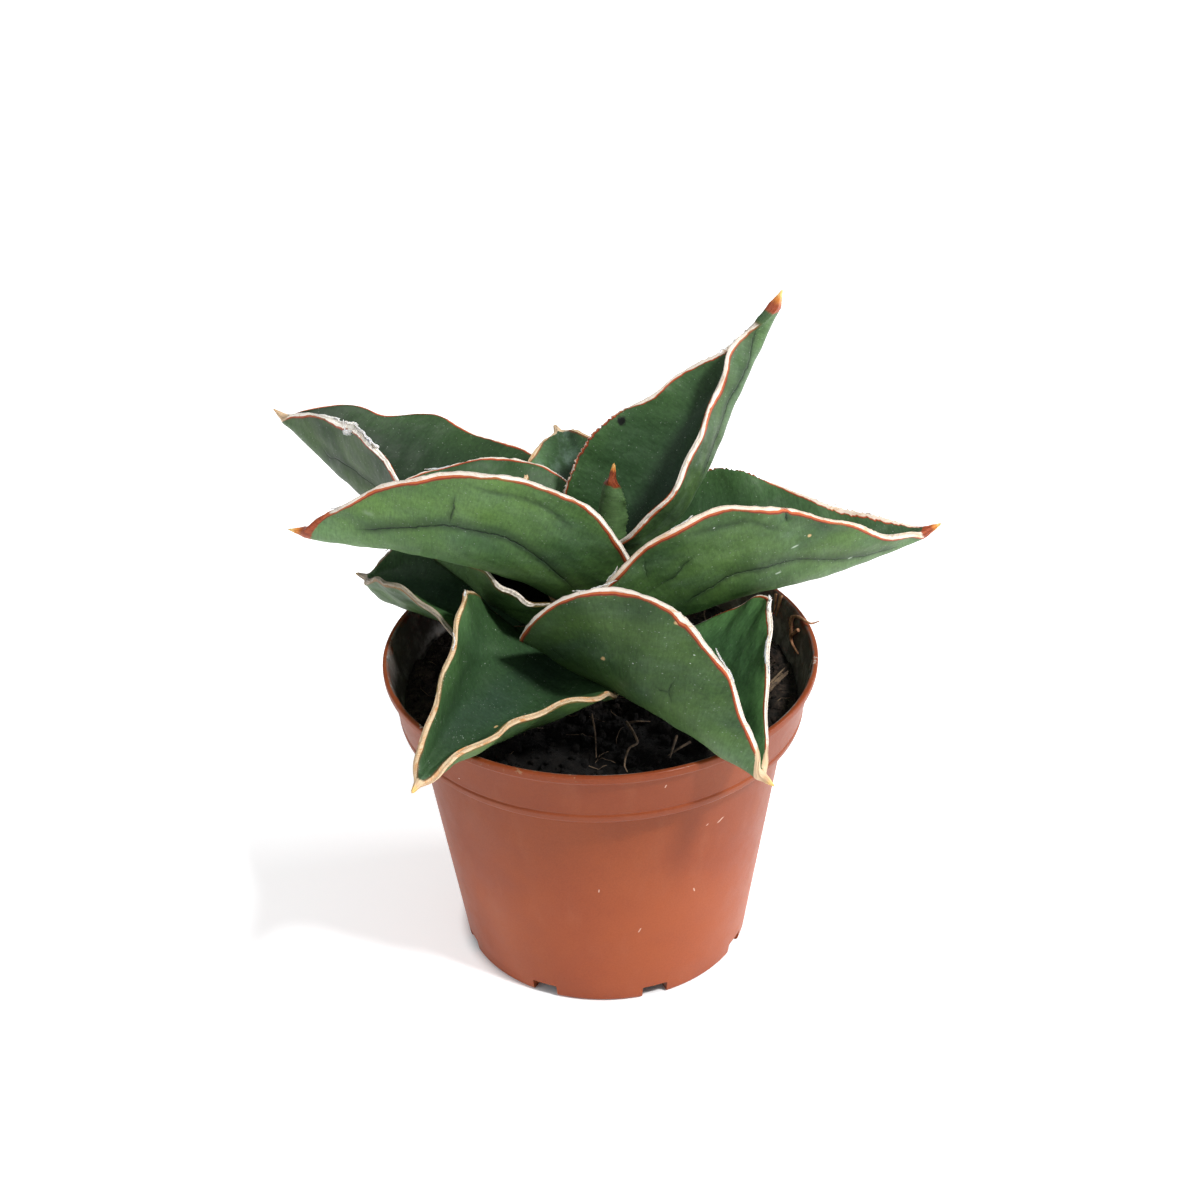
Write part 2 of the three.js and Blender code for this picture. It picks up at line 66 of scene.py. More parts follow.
def srgb(red: float, green: float, blue: float) -> Colour:
    """Turns display values from 0 to 255 into a linear colour.

    Args:
        red: Red, as a screen shows it.
        green: Green, as a screen shows it.
        blue: Blue, as a screen shows it.

    Returns:
        The linear colour with full opacity.
    """
    shares = [value / 255 for value in (red, green, blue)]
    linear = [s / 12.92 if s <= 0.04045 else ((s + 0.055) / 1.055) ** 2.4 for s in shares]
    return (linear[0], linear[1], linear[2], 1.0)


def smooth(x: np.ndarray | float) -> np.ndarray:
    """Eases from 0 at 0 to 1 at 1."""
    t = np.clip(x, 0, 1)
    return t * t * (3 - 2 * t)


def mix(start: np.ndarray | float, end: np.ndarray | float, share: np.ndarray | float) -> np.ndarray:
    """Goes from start to end in a straight line."""
    return start + (end - start) * np.asarray(share, float)


def through(values: Place, u: np.ndarray) -> np.ndarray:
    """The parabola through three values given at 0, a half and 1, read at u."""
    start, middle, end = values
    return start * (1 - u) * (1 - 2 * u) + 4 * middle * u * (1 - u) + end * u * (2 * u - 1)


def heading_vector(heading: np.ndarray, rise: np.ndarray) -> np.ndarray:
    """Unit vectors from headings and rises in radians, along the last axis."""
    flat = np.cos(rise)
    return np.stack([flat * np.cos(heading), flat * np.sin(heading), np.sin(rise)], axis=-1)


def unit(vectors: np.ndarray) -> np.ndarray:
    """Vectors brought to length one, along the last axis."""
    return vectors / np.linalg.norm(vectors, axis=-1, keepdims=True)


def ring(radius: float, height: float, sectors: int, centre: tuple[float, float] = (0.0, 0.0)) -> list[Place]:
    """Points round an upright axis.

    Args:
        radius: The ring's radius.
        height: Its height.
        sectors: How many points it has.
        centre: Where the axis stands.

    Returns:
        The points.
    """
    turns = [2 * math.pi * s / sectors for s in range(sectors)]
    return [(centre[0] + radius * math.cos(t), centre[1] + radius * math.sin(t), height) for t in turns]


def tube_faces(rings: int, around: int, start: int = 0) -> Faces:
    """Faces between rings of points that follow one another.

    Args:
        rings: How many rings there are.
        around: How many points each has.
        start: The first ring's first vertex number.

    Returns:
        The faces.
    """
    return [
        (a + s, a + (s + 1) % around, a + around + (s + 1) % around, a + around + s)
        for a in range(start, start + (rings - 1) * around, around)
        for s in range(around)
    ]


def lathe_faces(rings: int, sectors: int) -> Faces:
    """Faces of a closed turned body: a bottom point, then its rings, then a top point.

    Args:
        rings: How many rings the body has.
        sectors: How many points each ring has.

    Returns:
        The faces, as numbers of points.
    """
    top, last = 1 + rings * sectors, 1 + (rings - 1) * sectors
    turns = [(s, (s + 1) % sectors) for s in range(sectors)]
    fans = [(0, 1 + b, 1 + a) for a, b in turns] + [(last + a, last + b, top) for a, b in turns]
    return tube_faces(rings, sectors, 1) + fans


def link(name: str, data: bpy.types.ID) -> bpy.types.Object:
    """Puts a mesh, a light or a camera in the scene as an object.

    Args:
        name: What the object is called.
        data: Its mesh, light or camera.

    Returns:
        The new object.
    """
    made = bpy.data.objects.new(name, data)
    bpy.context.scene.collection.objects.link(made)
    return made


def dress(
    name: str, mesh: bpy.types.Mesh, material: bpy.types.Material, node: str | None
) -> bpy.types.Object:
    """Makes a smooth-shaded piece that rides on the plant's body.

    Args:
        name: The piece's name.
        mesh: Its mesh.
        material: The finish.
        node: The CAD node that the piece stands for, if any.

    Returns:
        The new object.
    """
    mesh.shade_smooth()
    mesh.materials.append(material)
    piece = link(name, mesh)
    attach(piece, BODY)
    if node is not None:
        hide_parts(node)
    LOG.info("%s: %d faces", name, len(mesh.polygons))
    return piece


def make_piece(
    name: str, points: np.ndarray, faces: Faces, material: bpy.types.Material, node: str | None
) -> bpy.types.Object:
    """Makes a piece from points in millimetres and faces; the rest is as for dress.

    Args:
        name: What the piece is called.
        points: Its points in millimetres.
        faces: Its faces, as numbers of points.
        material: Its finish.
        node: The solid that it replaces, if any.

    Returns:
        The new piece.
    """
    mesh = bpy.data.meshes.new(name)
    mesh.from_pydata((np.asarray(points, float) * MM).tolist(), [], faces)
    mesh.validate()
    return dress(name, mesh, material, node)


def add_values(piece: bpy.types.Object, name: str, values: np.ndarray) -> None:
    """Stores one number for each vertex under a name that the materials read."""
    attribute = piece.data.attributes.new(name, "FLOAT", "POINT")
    attribute.data.foreach_set("value", np.asarray(values, np.float32).ravel())


class Value:
    """A number, place or colour that a material works out. Plain signs work on it as on a number."""

    def __init__(self, finish: Finish, socket: bpy.types.NodeSocket) -> None:
        """Keeps the material and the socket that the value comes out of."""
        self.finish, self.socket = finish, socket

    def __add__(self, other: Value | float) -> Value:
        """The sum."""
        return self.finish.math("ADD", self, other)

    def __sub__(self, other: Value | float) -> Value:
        """What is left when the other is taken away."""
        return self.finish.math("SUBTRACT", self, other)

    def __rsub__(self, other: float) -> Value:
        """What is left when this is taken away from a number."""
        return self.finish.math("SUBTRACT", other, self)

    def __mul__(self, other: Value | float) -> Value:
        """The product."""
        return self.finish.math("MULTIPLY", self, other)

    def __truediv__(self, other: Value | float) -> Value:
        """The quotient."""
        return self.finish.math("DIVIDE", self, other)

    def __abs__(self) -> Value:
        """The value without its sign."""
        return self.finish.math("ABSOLUTE", self)

    __radd__ = __add__
    __rmul__ = __mul__


Source = Value | float | tuple


class Finish:
    """A material's node tree, built one named step at a time."""

    def __init__(self, name: str) -> None:
        """Starts a material of that name with one Principled shader.

        Args:
            name: What the material is called.
        """
        self.material = bpy.data.materials.new(name)
        self.material.use_nodes = True
        self.tree = self.material.node_tree
        self.shader = self.tree.nodes["Principled BSDF"]

    def feed(self, target: bpy.types.NodeSocket, source: Source) -> None:
        """Links a value to a socket, or sets the socket's own.

        Args:
            target: The socket to feed.
            source: A value, a number or a colour.
        """
        if isinstance(source, Value):
            self.tree.links.new(source.socket, target)
        else:
            target.default_value = source

    def node(self, kind: str, inputs: dict, out: str | int = 0, **settings: object) -> Value:
        """Adds a node.

        Args:
            kind: The node's type name.
            inputs: What it is fed, by the input's name or number.
            out: Which output is read.
            **settings: Properties to set on it.

        Returns:
            The output.
        """
        made = self.tree.nodes.new(kind)
        for key, value in settings.items():
            setattr(made, key, value)
        for key, source in inputs.items():
            self.feed(made.inputs[key], source)
        return Value(self, made.outputs[out])

    def dressed(
        self, inputs: dict[str, Source], scatter: tuple[float, Place] | None = None
    ) -> bpy.types.Material:
        """Feeds the shader.

        Args:
            inputs: What its inputs take, by name.
            scatter: How much light passes under the surface, and how far red, green and blue go.

        Returns:
            The material.
        """
        if scatter is not None:
            weight, radius = scatter
            inputs |= {"Subsurface Weight": weight, "Subsurface Radius": radius, "Subsurface Scale": 1.0}
        for name, source in inputs.items():
            self.feed(self.shader.inputs[name], source)
        return self.material

    def math(self, how: str, a: Value | float, b: Value | float = 0.0) -> Value:
        """One step of arithmetic, named as the node names it."""
        return self.node("ShaderNodeMath", {0: a, 1: b}, operation=how)

    def step(self, value: Value, low: float, high: float, out: tuple[float, float] = (0, 1)) -> Value:
        """Eases from out[0] where value is low to out[1] where it is high."""
        inputs = dict(enumerate((value, low, high, *out)))
        return self.node("ShaderNodeMapRange", inputs, interpolation_type="SMOOTHSTEP")

    def fade(self, value: Value, low: float, high: float) -> Value:
        """Eases from 1 where value is low to 0 where it is high."""
        return self.step(value, low, high, (1.0, 0.0))

    def blend(self, share: Value | float, a: Source, b: Source, how: str = "MIX") -> Value:
        """Mixes two colours, where share is how much of the second there is."""
        return self.node("ShaderNodeMix", {0: share, 6: a, 7: b}, 2, data_type="RGBA", blend_type=how)

    def shaded(self, colour: Source, shade: Value | float) -> Value:
        """A colour made darker or lighter by a factor."""
        by = self.vector(shade, shade, shade) if isinstance(shade, Value) else (shade, shade, shade, 1.0)
        return self.blend(1.0, colour, by, "MULTIPLY")

    def value_of(self, name: str) -> Value:
        """Reads a number that the mesh stores at its vertices."""
        return self.node("ShaderNodeAttribute", {}, "Fac", attribute_name=name)

    def vector(self, *parts: Value | float) -> Value:
        """Joins three numbers into a place."""
        return self.node("ShaderNodeCombineXYZ", dict(enumerate(parts)))

    def split(self, value: Value, kind: str = "XYZ") -> list[Value]:
        """The three parts of a place, or of a colour where kind is Color."""
        made = self.node(f"ShaderNodeSeparate{kind}", {0: value})
        return [Value(self, output) for output in made.socket.node.outputs]

    def scaled(self, place: Value, by: Place) -> Value:
        """Stretches a place along its three axes."""
        return self.node("ShaderNodeVectorMath", {0: place, 1: by}, operation="MULTIPLY")

    def distance(self, place: Value, point: Place = (0, 0, 0)) -> Value:
        """How far a place is from a point, in metres."""
        return self.node("ShaderNodeVectorMath", {0: place, 1: point}, "Value", operation="DISTANCE")

    def noise(
        self, place: Value, scale: float | Place, detail: float = 3.0, roughness: float = 0.55
    ) -> Value:
        """Soft random variation from 0 to 1.

        Args:
            place: Where it is read.
            scale: How many blobs there are in one unit, or in one unit along each axis.
            detail: How many finer layers are added.
            roughness: How strong the finer layers are.

        Returns:
            The noise value.
        """
        if isinstance(scale, tuple):
            place, scale = self.scaled(place, scale), 1.0
        inputs = {"Vector": place, "Scale": scale, "Detail": detail, "Roughness": roughness}
        return self.node("ShaderNodeTexNoise", inputs, "Fac")

    def cells(self, place: Value, scale: Place) -> tuple[Value, list[Value]]:
        """Distance to the nearest of many scattered points, and three random numbers of that point.

        Args:
            place: Where to look.
            scale: How close together the points lie.

        Returns:
            The distance and the three numbers.
        """
        inputs = {"Vector": self.scaled(place, scale), "Scale": 1.0}
        away = self.node("ShaderNodeTexVoronoi", inputs, "Distance")
        return away, self.split(Value(self, away.socket.node.outputs["Color"]), "Color")

    def curve(self, value: Value, points: list[tuple[float, float]]) -> Value:
        """A smooth curve, read at value, through points whose coordinates all lie from 0 to 1.

        Args:
            value: Where to read the curve.
            points: The points that it runs through.

        Returns:
            The curve's height there.
        """
        made = self.node("ShaderNodeFloatCurve", {"Value": value})
        mapping = made.socket.node.mapping
        line = mapping.curves[0]
        while len(line.points) < len(points):
            line.points.new(0.5, 0.5)
        for handle, place in zip(line.points, points):
            handle.location = place
            handle.handle_type = "AUTO_CLAMPED"
        mapping.update()
        return made

    def bump(self, height: Value, distance: float, strength: float, under: Value | None = None) -> Value:
        """Turns heights into a shading normal.

        Args:
            height: The height, where 1 is one distance.
            distance: The relief's height in metres.
            strength: How much of it shows.
            under: A normal that it is laid over.

        Returns:
            The normal.
        """
        inputs = {"Strength": strength, "Distance": distance, "Height": height}
        return self.node("ShaderNodeBump", inputs if under is None else inputs | {"Normal": under})

    def object_place(self) -> Value:
        """The place on the object, in metres."""
        return self.node("ShaderNodeTexCoord", {}, "Object")


class MarginTone(Enum):
    """What a leaf's papery margin is mostly coloured like."""

    WHITE = "white"
    CREAM = "cream"
    STRAW = "straw"
    GREY = "grey"
    # A brighter white, painted light for a margin that lies in shade.
    PAINTED_BRIGHT = "bright"


class CreaseRun(Enum):
    """Which way a crease runs over the leaf."""

    LENGTHWISE = "lengthwise"
    ACROSS = "across"


@dataclass(frozen=True)
class Crease:
    """A line pressed into a leaf's outer face, with a thin dark line of painted shade in it and painted shade
    beside it.

    Places are millimetres along the leaf from the seat and millimetres from the keel, where the left
    half counts up and the right half down.
    """

    points: tuple[tuple[float, float], ...]
    strength: float = 1.0
    # width is that of the dark line; reach sets how far the painted shade goes on the outward side and under,
    # as a share of reach, on the other side; reach also sets the pressed groove's width.
    width: float = 0.32
    run: CreaseRun = CreaseRun.LENGTHWISE
    depth: float = 0.3
    reach: float = 1.5
    under: float = 0.45


@dataclass(frozen=True)
class Mark:
    """A small round scar on a leaf: its place, radius and colour, and the face it is on."""

    along: float
    aside: float
    radius: float
    colour: Colour
    inner: bool = False
    strength: float = 1.0
    core: float = 0.9
    stretch: float = 1.0


@dataclass(frozen=True)
class Tear:
    """A place where a papery margin is wider and ragged: half, place along the leaf, extent, extra width."""

    half: int
    along: float
    extent: float
    extra: float


@dataclass(frozen=True)
class Flake:
    """A strip of papery margin that has come loose.

    It starts on one half's edge at a place along the leaf and runs so many millimetres towards the tip
    (or the stem, if negative), leaving the edge outwards by lift and over the inner face by curl.
    A bowed flake comes back to the edge at its end. Taper is how much narrower its end is.
    """

    half: int
    along: float
    run: float
    width: float = 0.6
    lift: float = 0.5
    curl: float = 0.3
    taper: float = 0.75
    bowed: bool = False


@dataclass(frozen=True)
class LeafFinish:
    """The colours of the leaves' waxy skin, margins and spines, and two widths in millimetres."""

    outer_deep: Colour = srgb(58, 88, 50)
    outer_light: Colour = srgb(90, 123, 62)
    # Lighter green along the outer keel: painted light, standing in for light thrown up from the floor.
    outer_keel_painted_light: Colour = srgb(104, 138, 88)
    inner_deep: Colour = srgb(42, 66, 40)
    inner_light: Colour = srgb(62, 92, 50)
    # Darker blue-green for painted shade on the inner face near the keel.
    inner_keel_blue_shade: Colour = srgb(44, 64, 54)
    bloom: Colour = srgb(124, 146, 134)
    # The dark green of the painted shade in and beside the creases.
    crease: Colour = srgb(14, 30, 20)
    powder: Colour = srgb(196, 206, 196)
    line_orange: Colour = srgb(178, 88, 48)
    line_red: Colour = srgb(112, 42, 26)
    spine_red: Colour = srgb(158, 76, 42)
    spine_dark: Colour = srgb(122, 52, 30)
    spine_orange: Colour = srgb(206, 128, 60)
    spine_point: Colour = srgb(232, 190, 116)
    roughness: float = 0.46
    specular: float = 0.26
    margin_width: float = 0.3
    line_width: float = 0.8


# A margin's main colour, its second colour and how much of the second one shows.
MARGIN_COLOURS = {
    MarginTone.WHITE: (srgb(226, 216, 204), srgb(192, 160, 130), 0.45),
    MarginTone.CREAM: (srgb(220, 204, 188), srgb(204, 160, 116), 0.5),
    MarginTone.STRAW: (srgb(208, 184, 150), srgb(186, 128, 76), 0.6),
    MarginTone.GREY: (srgb(158, 148, 132), srgb(118, 100, 80), 0.6),
    # Painted light: a margin whiter than the white one, for a margin in shade.
    MarginTone.PAINTED_BRIGHT: (srgb(252, 246, 236), srgb(214, 180, 132), 0.4),
}


class LeafSkin(Finish):
    """The material of one leaf, painted in layers over the numbers that its mesh stores."""

    crease_span = 120.0
    crease_fade = 5.0

    def __init__(self, leaf: Leaf) -> None:
        """Reads the mesh's numbers for a leaf, whose creases, marks and tones the skin shows.

        Args:
            leaf: The leaf to be dressed.
        """
        super().__init__(f"leaf_skin_{leaf.name}")
        self.leaf, self.tones = leaf, leaf.finish
        stored = ("along", "aside", "edge", "inner")
        self.along, self.aside, self.edge, self.inner = (self.value_of(name) for name in stored)
        self.outer = 1.0 - self.inner
        self.to_tip = leaf.length - self.along
        self.place = self.vector(self.along, self.aside, self.inner * 60.0 + leaf.seed * 17.0)

    def grain(
        self, along: float, aside: float, detail: float = 3.0, roughness: float = 0.55, layer: float = 1.0
    ) -> Value:
        """Random variation on the skin.

        Args:
            along: How many blobs there are in a millimetre of length.
            aside: How many there are in a millimetre of width.
            detail: How many finer layers are added.
            roughness: How strong the finer layers are.
            layer: Sets one pattern apart from another.

        Returns:
            Values from 0 to 1.
        """
        return self.noise(self.place, (along, aside, layer), detail, roughness)

    def build(self) -> bpy.types.Material:
        """Paints the skin.

        Returns:
            The material.
        """
        texture = self.grain(3.2, 0.5, 3.0, 0.65) * 0.45 + self.grain(1.5, 1.3, 4.0, 0.7) * 0.55
        colour = self.shaded(self.flesh(), self.step(texture, 0.3, 0.7, (0.73, 1.27)))
        # Painted shade: soft dark bands beside the creases and thin dark lines in them, on the outer face.
        crease_shade, line = (found * self.outer for found in self.creases())
        colour = self.blend(self.math("MAXIMUM", crease_shade * 0.85, line), colour, self.tones.crease)
        colour = self.dust(colour)
        for mark in self.leaf.marks:
            colour = self.scar(mark, colour)
        colour, papery = self.margin(colour)
        colour, horny = self.spine(colour)
        relief = texture * 0.4 + self.grain(0.5, 9.0) * papery - line * 1.8
        gentle = self.bump(self.grain(0.24, 0.18, 2.0), 0.0011, 0.45)
        inputs = {
            "Base Color": colour,
            "Roughness": self.tones.roughness + texture * 0.12 + papery * 0.26 - horny * 0.1,
            "Specular IOR Level": self.tones.specular,
            "Normal": self.bump(relief, 0.00013, 0.7, gentle),
        }
        return self.dressed(inputs, (0.03, (0.001, 0.0014, 0.0005)))

    def flesh(self) -> Value:
        """The green of both faces under its waxy bloom, with painted light and shade: lighter along the outer
        keel and near the inner face's edge, darker in the channel, and scaled by each leaf's own factors of
        painted light and shade.

        Returns:
            The colour.
        """
        leaf, tones, from_keel = self.leaf, self.tones, abs(self.aside)
        tone = self.grain(0.06, 0.1)
        outer = self.blend(self.step(tone, 0.25, 0.75), tones.outer_deep, tones.outer_light)
        # Painted light: the outer face is lighter within about 10 mm of the keel.
        outer = self.blend(self.step(from_keel, 1.0, 10.0, (0.75, 0.0)), outer, tones.outer_keel_painted_light)
        # Painted light: the inner face is lighter within 12 mm of the edge, where the channel opens; the rest
        # of it is random tone.
        inner_tone_and_edge_light = tone * 0.5 + self.fade(self.edge, 0.0, 12.0) * 0.25
        inside = self.blend(self.step(inner_tone_and_edge_light, 0.2, 0.8), tones.inner_deep, tones.inner_light)
        # Painted shade: a darker blue-green in blotches over the inner face near the keel.
        keel_blue_shade = self.step(from_keel, 1.0, 9.0, (0.6, 0.0)) * self.step(tone, 0.3, 0.7)
        inside = self.blend(keel_blue_shade, inside, tones.inner_keel_blue_shade)
        # Painted shade: the inner face darkens towards the keel, deep in the channel.
        deep = self.step(from_keel, 0.0, leaf.channel_reach, (leaf.painted_channel_shade, 1.0))
        # Painted light and shade: each leaf's own factors lighten and darken its two faces.
        outer = self.shaded(outer, leaf.painted_shading[0])
        inside = self.shaded(self.shaded(inside, deep), leaf.painted_shading[1])
        film = self.step(self.grain(0.13, 0.2, 4.0, 0.6), 0.42, 0.8, (0.0, leaf.bloom))
        film = film * self.math("MAXIMUM", self.outer, leaf.inner_film)
        return self.blend(film, self.blend(self.inner, outer, inside), tones.bloom)

    def creases(self) -> tuple[Value | float, Value | float]:
        """Adds up the creases of the outer face.

        Returns:
            The painted shade beside the creases and the thin dark lines of painted shade in them, each from 0
            to 1.
        """
        span = self.crease_span
        stray = (self.noise(self.vector(self.along, self.aside, self.leaf.seed), 0.9) - 0.5) * 0.8
        crease_shade, thin = 0.0, 0.0
        for crease in self.leaf.creases:
            runs_along = crease.run is CreaseRun.LENGTHWISE
            way, beside = (self.along, self.aside) if runs_along else (self.aside, self.along)
            pairs = sorted((a, b) if runs_along else (b, a) for a, b in crease.points)
            line = self.curve(way * (1 / span) + 0.5, [(x / span + 0.5, y / span + 0.5) for x, y in pairs])
            outwards = 1.0 if pairs[0][1] > 0 or not runs_along else -1.0
            beyond = (beside - ((line - 0.5) * span + stray)) * outwards
            # Painted shade on both sides of the crease line, reaching further on the outward side.
            above = self.step(beyond, 0.0, crease.reach, (0.7, 0.0))
            below = self.step(beyond, -crease.under * crease.reach, 0.0, (0.0, 0.7))
            first, last = pairs[0][0], pairs[-1][0]
            fade = min(self.crease_fade, 0.4 * (last - first))
            ends = self.step(way, first, first + fade) * self.fade(way, last - fade, last) * crease.strength
            crease_shade = self.math("MAXIMUM", crease_shade, self.math("MINIMUM", above, below) * ends)
            thin = self.math("MAXIMUM", thin, self.fade(abs(beyond), 0.0, crease.width) * ends)
        return crease_shade, thin

    def dust(self, colour: Value) -> Value:
        """Scatters pale specks, and fine powder over the inner face of a leaf that carries some.

        Args:
            colour: The colour under it.

        Returns:
            The colour with the dust.
        """
        powder = self.tones.powder
        away, chances = self.cells(self.place, (0.35, 0.5, 1.0))
        shown = self.math("LESS_THAN", away, chances[1] * 0.06) * self.step(chances[0], 0.8, 0.82)
        colour = self.blend(shown * 0.65, colour, powder)
        near, chances = self.cells(self.place, (2.1, 2.6, 1.0))
        grain = self.math("LESS_THAN", near, chances[1] * 0.3)
        colour = self.blend(grain * self.step(chances[0], 0.5, 1.0, (0.0, 0.2)), colour, powder)
        if self.leaf.powder <= 0:
            return colour
        drift = self.step(self.grain(0.16, 0.2, 3.0, 0.6), 0.5, 0.72)
        thick = drift * self.step(chances[2], 0.45, 0.75, (0.0, self.leaf.powder))
        return self.blend(grain * thick * self.inner, colour, powder)

    def scar(self, mark: Mark, colour: Value) -> Value:
        """Paints one small scar.

        Args:
            mark: The scar.
            colour: The colour under it.

        Returns:
            The colour with the scar.
        """
        x, y = (self.along - mark.along) * (1 / mark.stretch), self.aside - mark.aside
        ragged = self.noise(self.vector(self.along, self.aside, 3.0), 1.6, 2.0)
        away = self.math("SQRT", x * x + y * y) + ragged * (mark.radius * 0.9)
        shown = self.step(away, mark.radius * mark.core, mark.radius * 1.5, (mark.strength, 0.0))
        return self.blend(shown * (self.inner if mark.inner else self.outer), colour, mark.colour)

    def margin(self, colour: Value) -> tuple[Value, Value]:
        """Paints the papery margin, the orange line inside it and the dark red edge of that line.

        Args:
            colour: The colour under it.

        Returns:
            The colour with the margin, and how papery the surface is.
        """
        leaf, tones, wide = self.leaf, self.tones, self.tones.margin_width
        ragged = (self.grain(0.7, 0.2, 3.0, 0.7) - 0.5) * 0.3
        ragged = ragged + self.step(self.grain(0.13, 0.02, 2.0), 0.36, 0.66, (0.16, -0.26))
        bare = self.fade(self.to_tip, leaf.bare_tip * 0.8, leaf.bare_tip * 1.15 + 0.1)
        from_edge = self.edge - self.value_of("torn") + ragged + bare * wide
        papery = self.fade(from_edge, wide - 0.06, wide + 0.04) * self.fade(bare, 0.6, 0.9)

        patches = self.grain(0.16, 0.1, layer=2.0)
        strength = self.step(patches, 0.3, 0.5, (leaf.line_strength * 0.6, leaf.line_strength))
        strength = strength * (bare * (leaf.bare_line - 1.0) + 1.0)
        narrow = self.step(patches, 0.35, 0.65, (0.55, 1.0)) * tones.line_width * (self.inner * -0.45 + 1.0)
        share = (from_edge - wide) / narrow
        line_colour = self.blend(self.step(share, 0.4, 0.8), tones.line_orange, tones.line_red)
        colour = self.blend(self.fade(share, 0.9, 1.25) * strength, colour, line_colour)

        main, second, second_share = MARGIN_COLOURS[leaf.margin]
        fibres = self.grain(0.35, 7.0, 3.0, 0.6)
        mixed = self.grain(0.2, 0.5, 3.0, 0.6, 3.0) * 0.7 + fibres * 0.3
        tan = self.step(mixed, 0.66 - 0.3 * second_share, 0.8 - 0.3 * second_share)
        paper = self.blend(tan * 0.9, main, second)
        dark = tones.line_orange if leaf.margin is MarginTone.STRAW else second
        paper = self.blend(self.step(fibres, 0.55, 0.72, (0.0, 0.42)), paper, dark)
        flecks = self.grain(1.6, 3.0, 2.0, layer=5.0)
        paper = self.blend(self.step(flecks, 0.68, 0.74, (0.0, 0.6)), paper, tones.line_red)
        return self.blend(papery, colour, paper), papery

    def spine(self, colour: Value) -> tuple[Value, Value]:
        """Paints the horny spine, red-brown at its foot and straw-coloured at its point.

        Args:
            colour: The colour under it.

        Returns:
            The colour with the spine, and how horny the surface is.
        """
        leaf, tones = self.leaf, self.tones
        back = self.to_tip + (self.grain(0.8, 1.6) - 0.5) * 1.1
        foot = back - self.step(self.edge, 0.0, 2.4, (leaf.spine_slant, 0.0))
        horny = self.fade(foot, leaf.spine_foot - 0.35, leaf.spine_foot + 0.25)
        horn = self.blend(self.step(self.grain(0.5, 5.0), 0.42, 0.62), tones.spine_red, tones.spine_dark)
        dry = MarginTone.GREY if leaf.margin is MarginTone.GREY else MarginTone.STRAW
        horn = self.shaded(self.blend(leaf.spine_straw, horn, MARGIN_COLOURS[dry][0]), leaf.spine_tone)
        warm, reach = 1 - leaf.spine_straw, leaf.spine_bright
        horn = self.blend(self.step(back, 1.4 * reach, 2.9 * reach, (warm, 0.0)), horn, tones.spine_orange)
        point = self.step(back, 0.4 * reach, 1.5 * reach, (min(1.0, reach), 0.0))
        return self.blend(horny, colour, self.blend(point, horn, tones.spine_point)), horny


@dataclass(frozen=True)
class PaperFinish:
    """Dry papery skin that has come loose from a margin."""

    white: Colour = srgb(250, 247, 243)
    tan: Colour = srgb(216, 190, 156)

    def material(self, name: str) -> bpy.types.Material:
        """Builds the finish of one leaf's loose flakes.

        Args:
            name: The leaf's name.

        Returns:
            The new material.
        """
        made = Finish(f"loose_paper_{name}")
        fibres = made.noise(made.object_place(), 1500.0, 3.0, 0.65)
        inputs = {
            "Base Color": made.blend(made.step(fibres, 0.54, 0.78), self.white, self.tan),
            "Roughness": made.step(fibres, 0.2, 0.8, (0.6, 0.85)),
            "Specular IOR Level": 0.3,
            "Normal": made.bump(fibres, 0.0001, 0.6),
        }
        return made.dressed(inputs, (0.8, (0.002, 0.0017, 0.0014)))


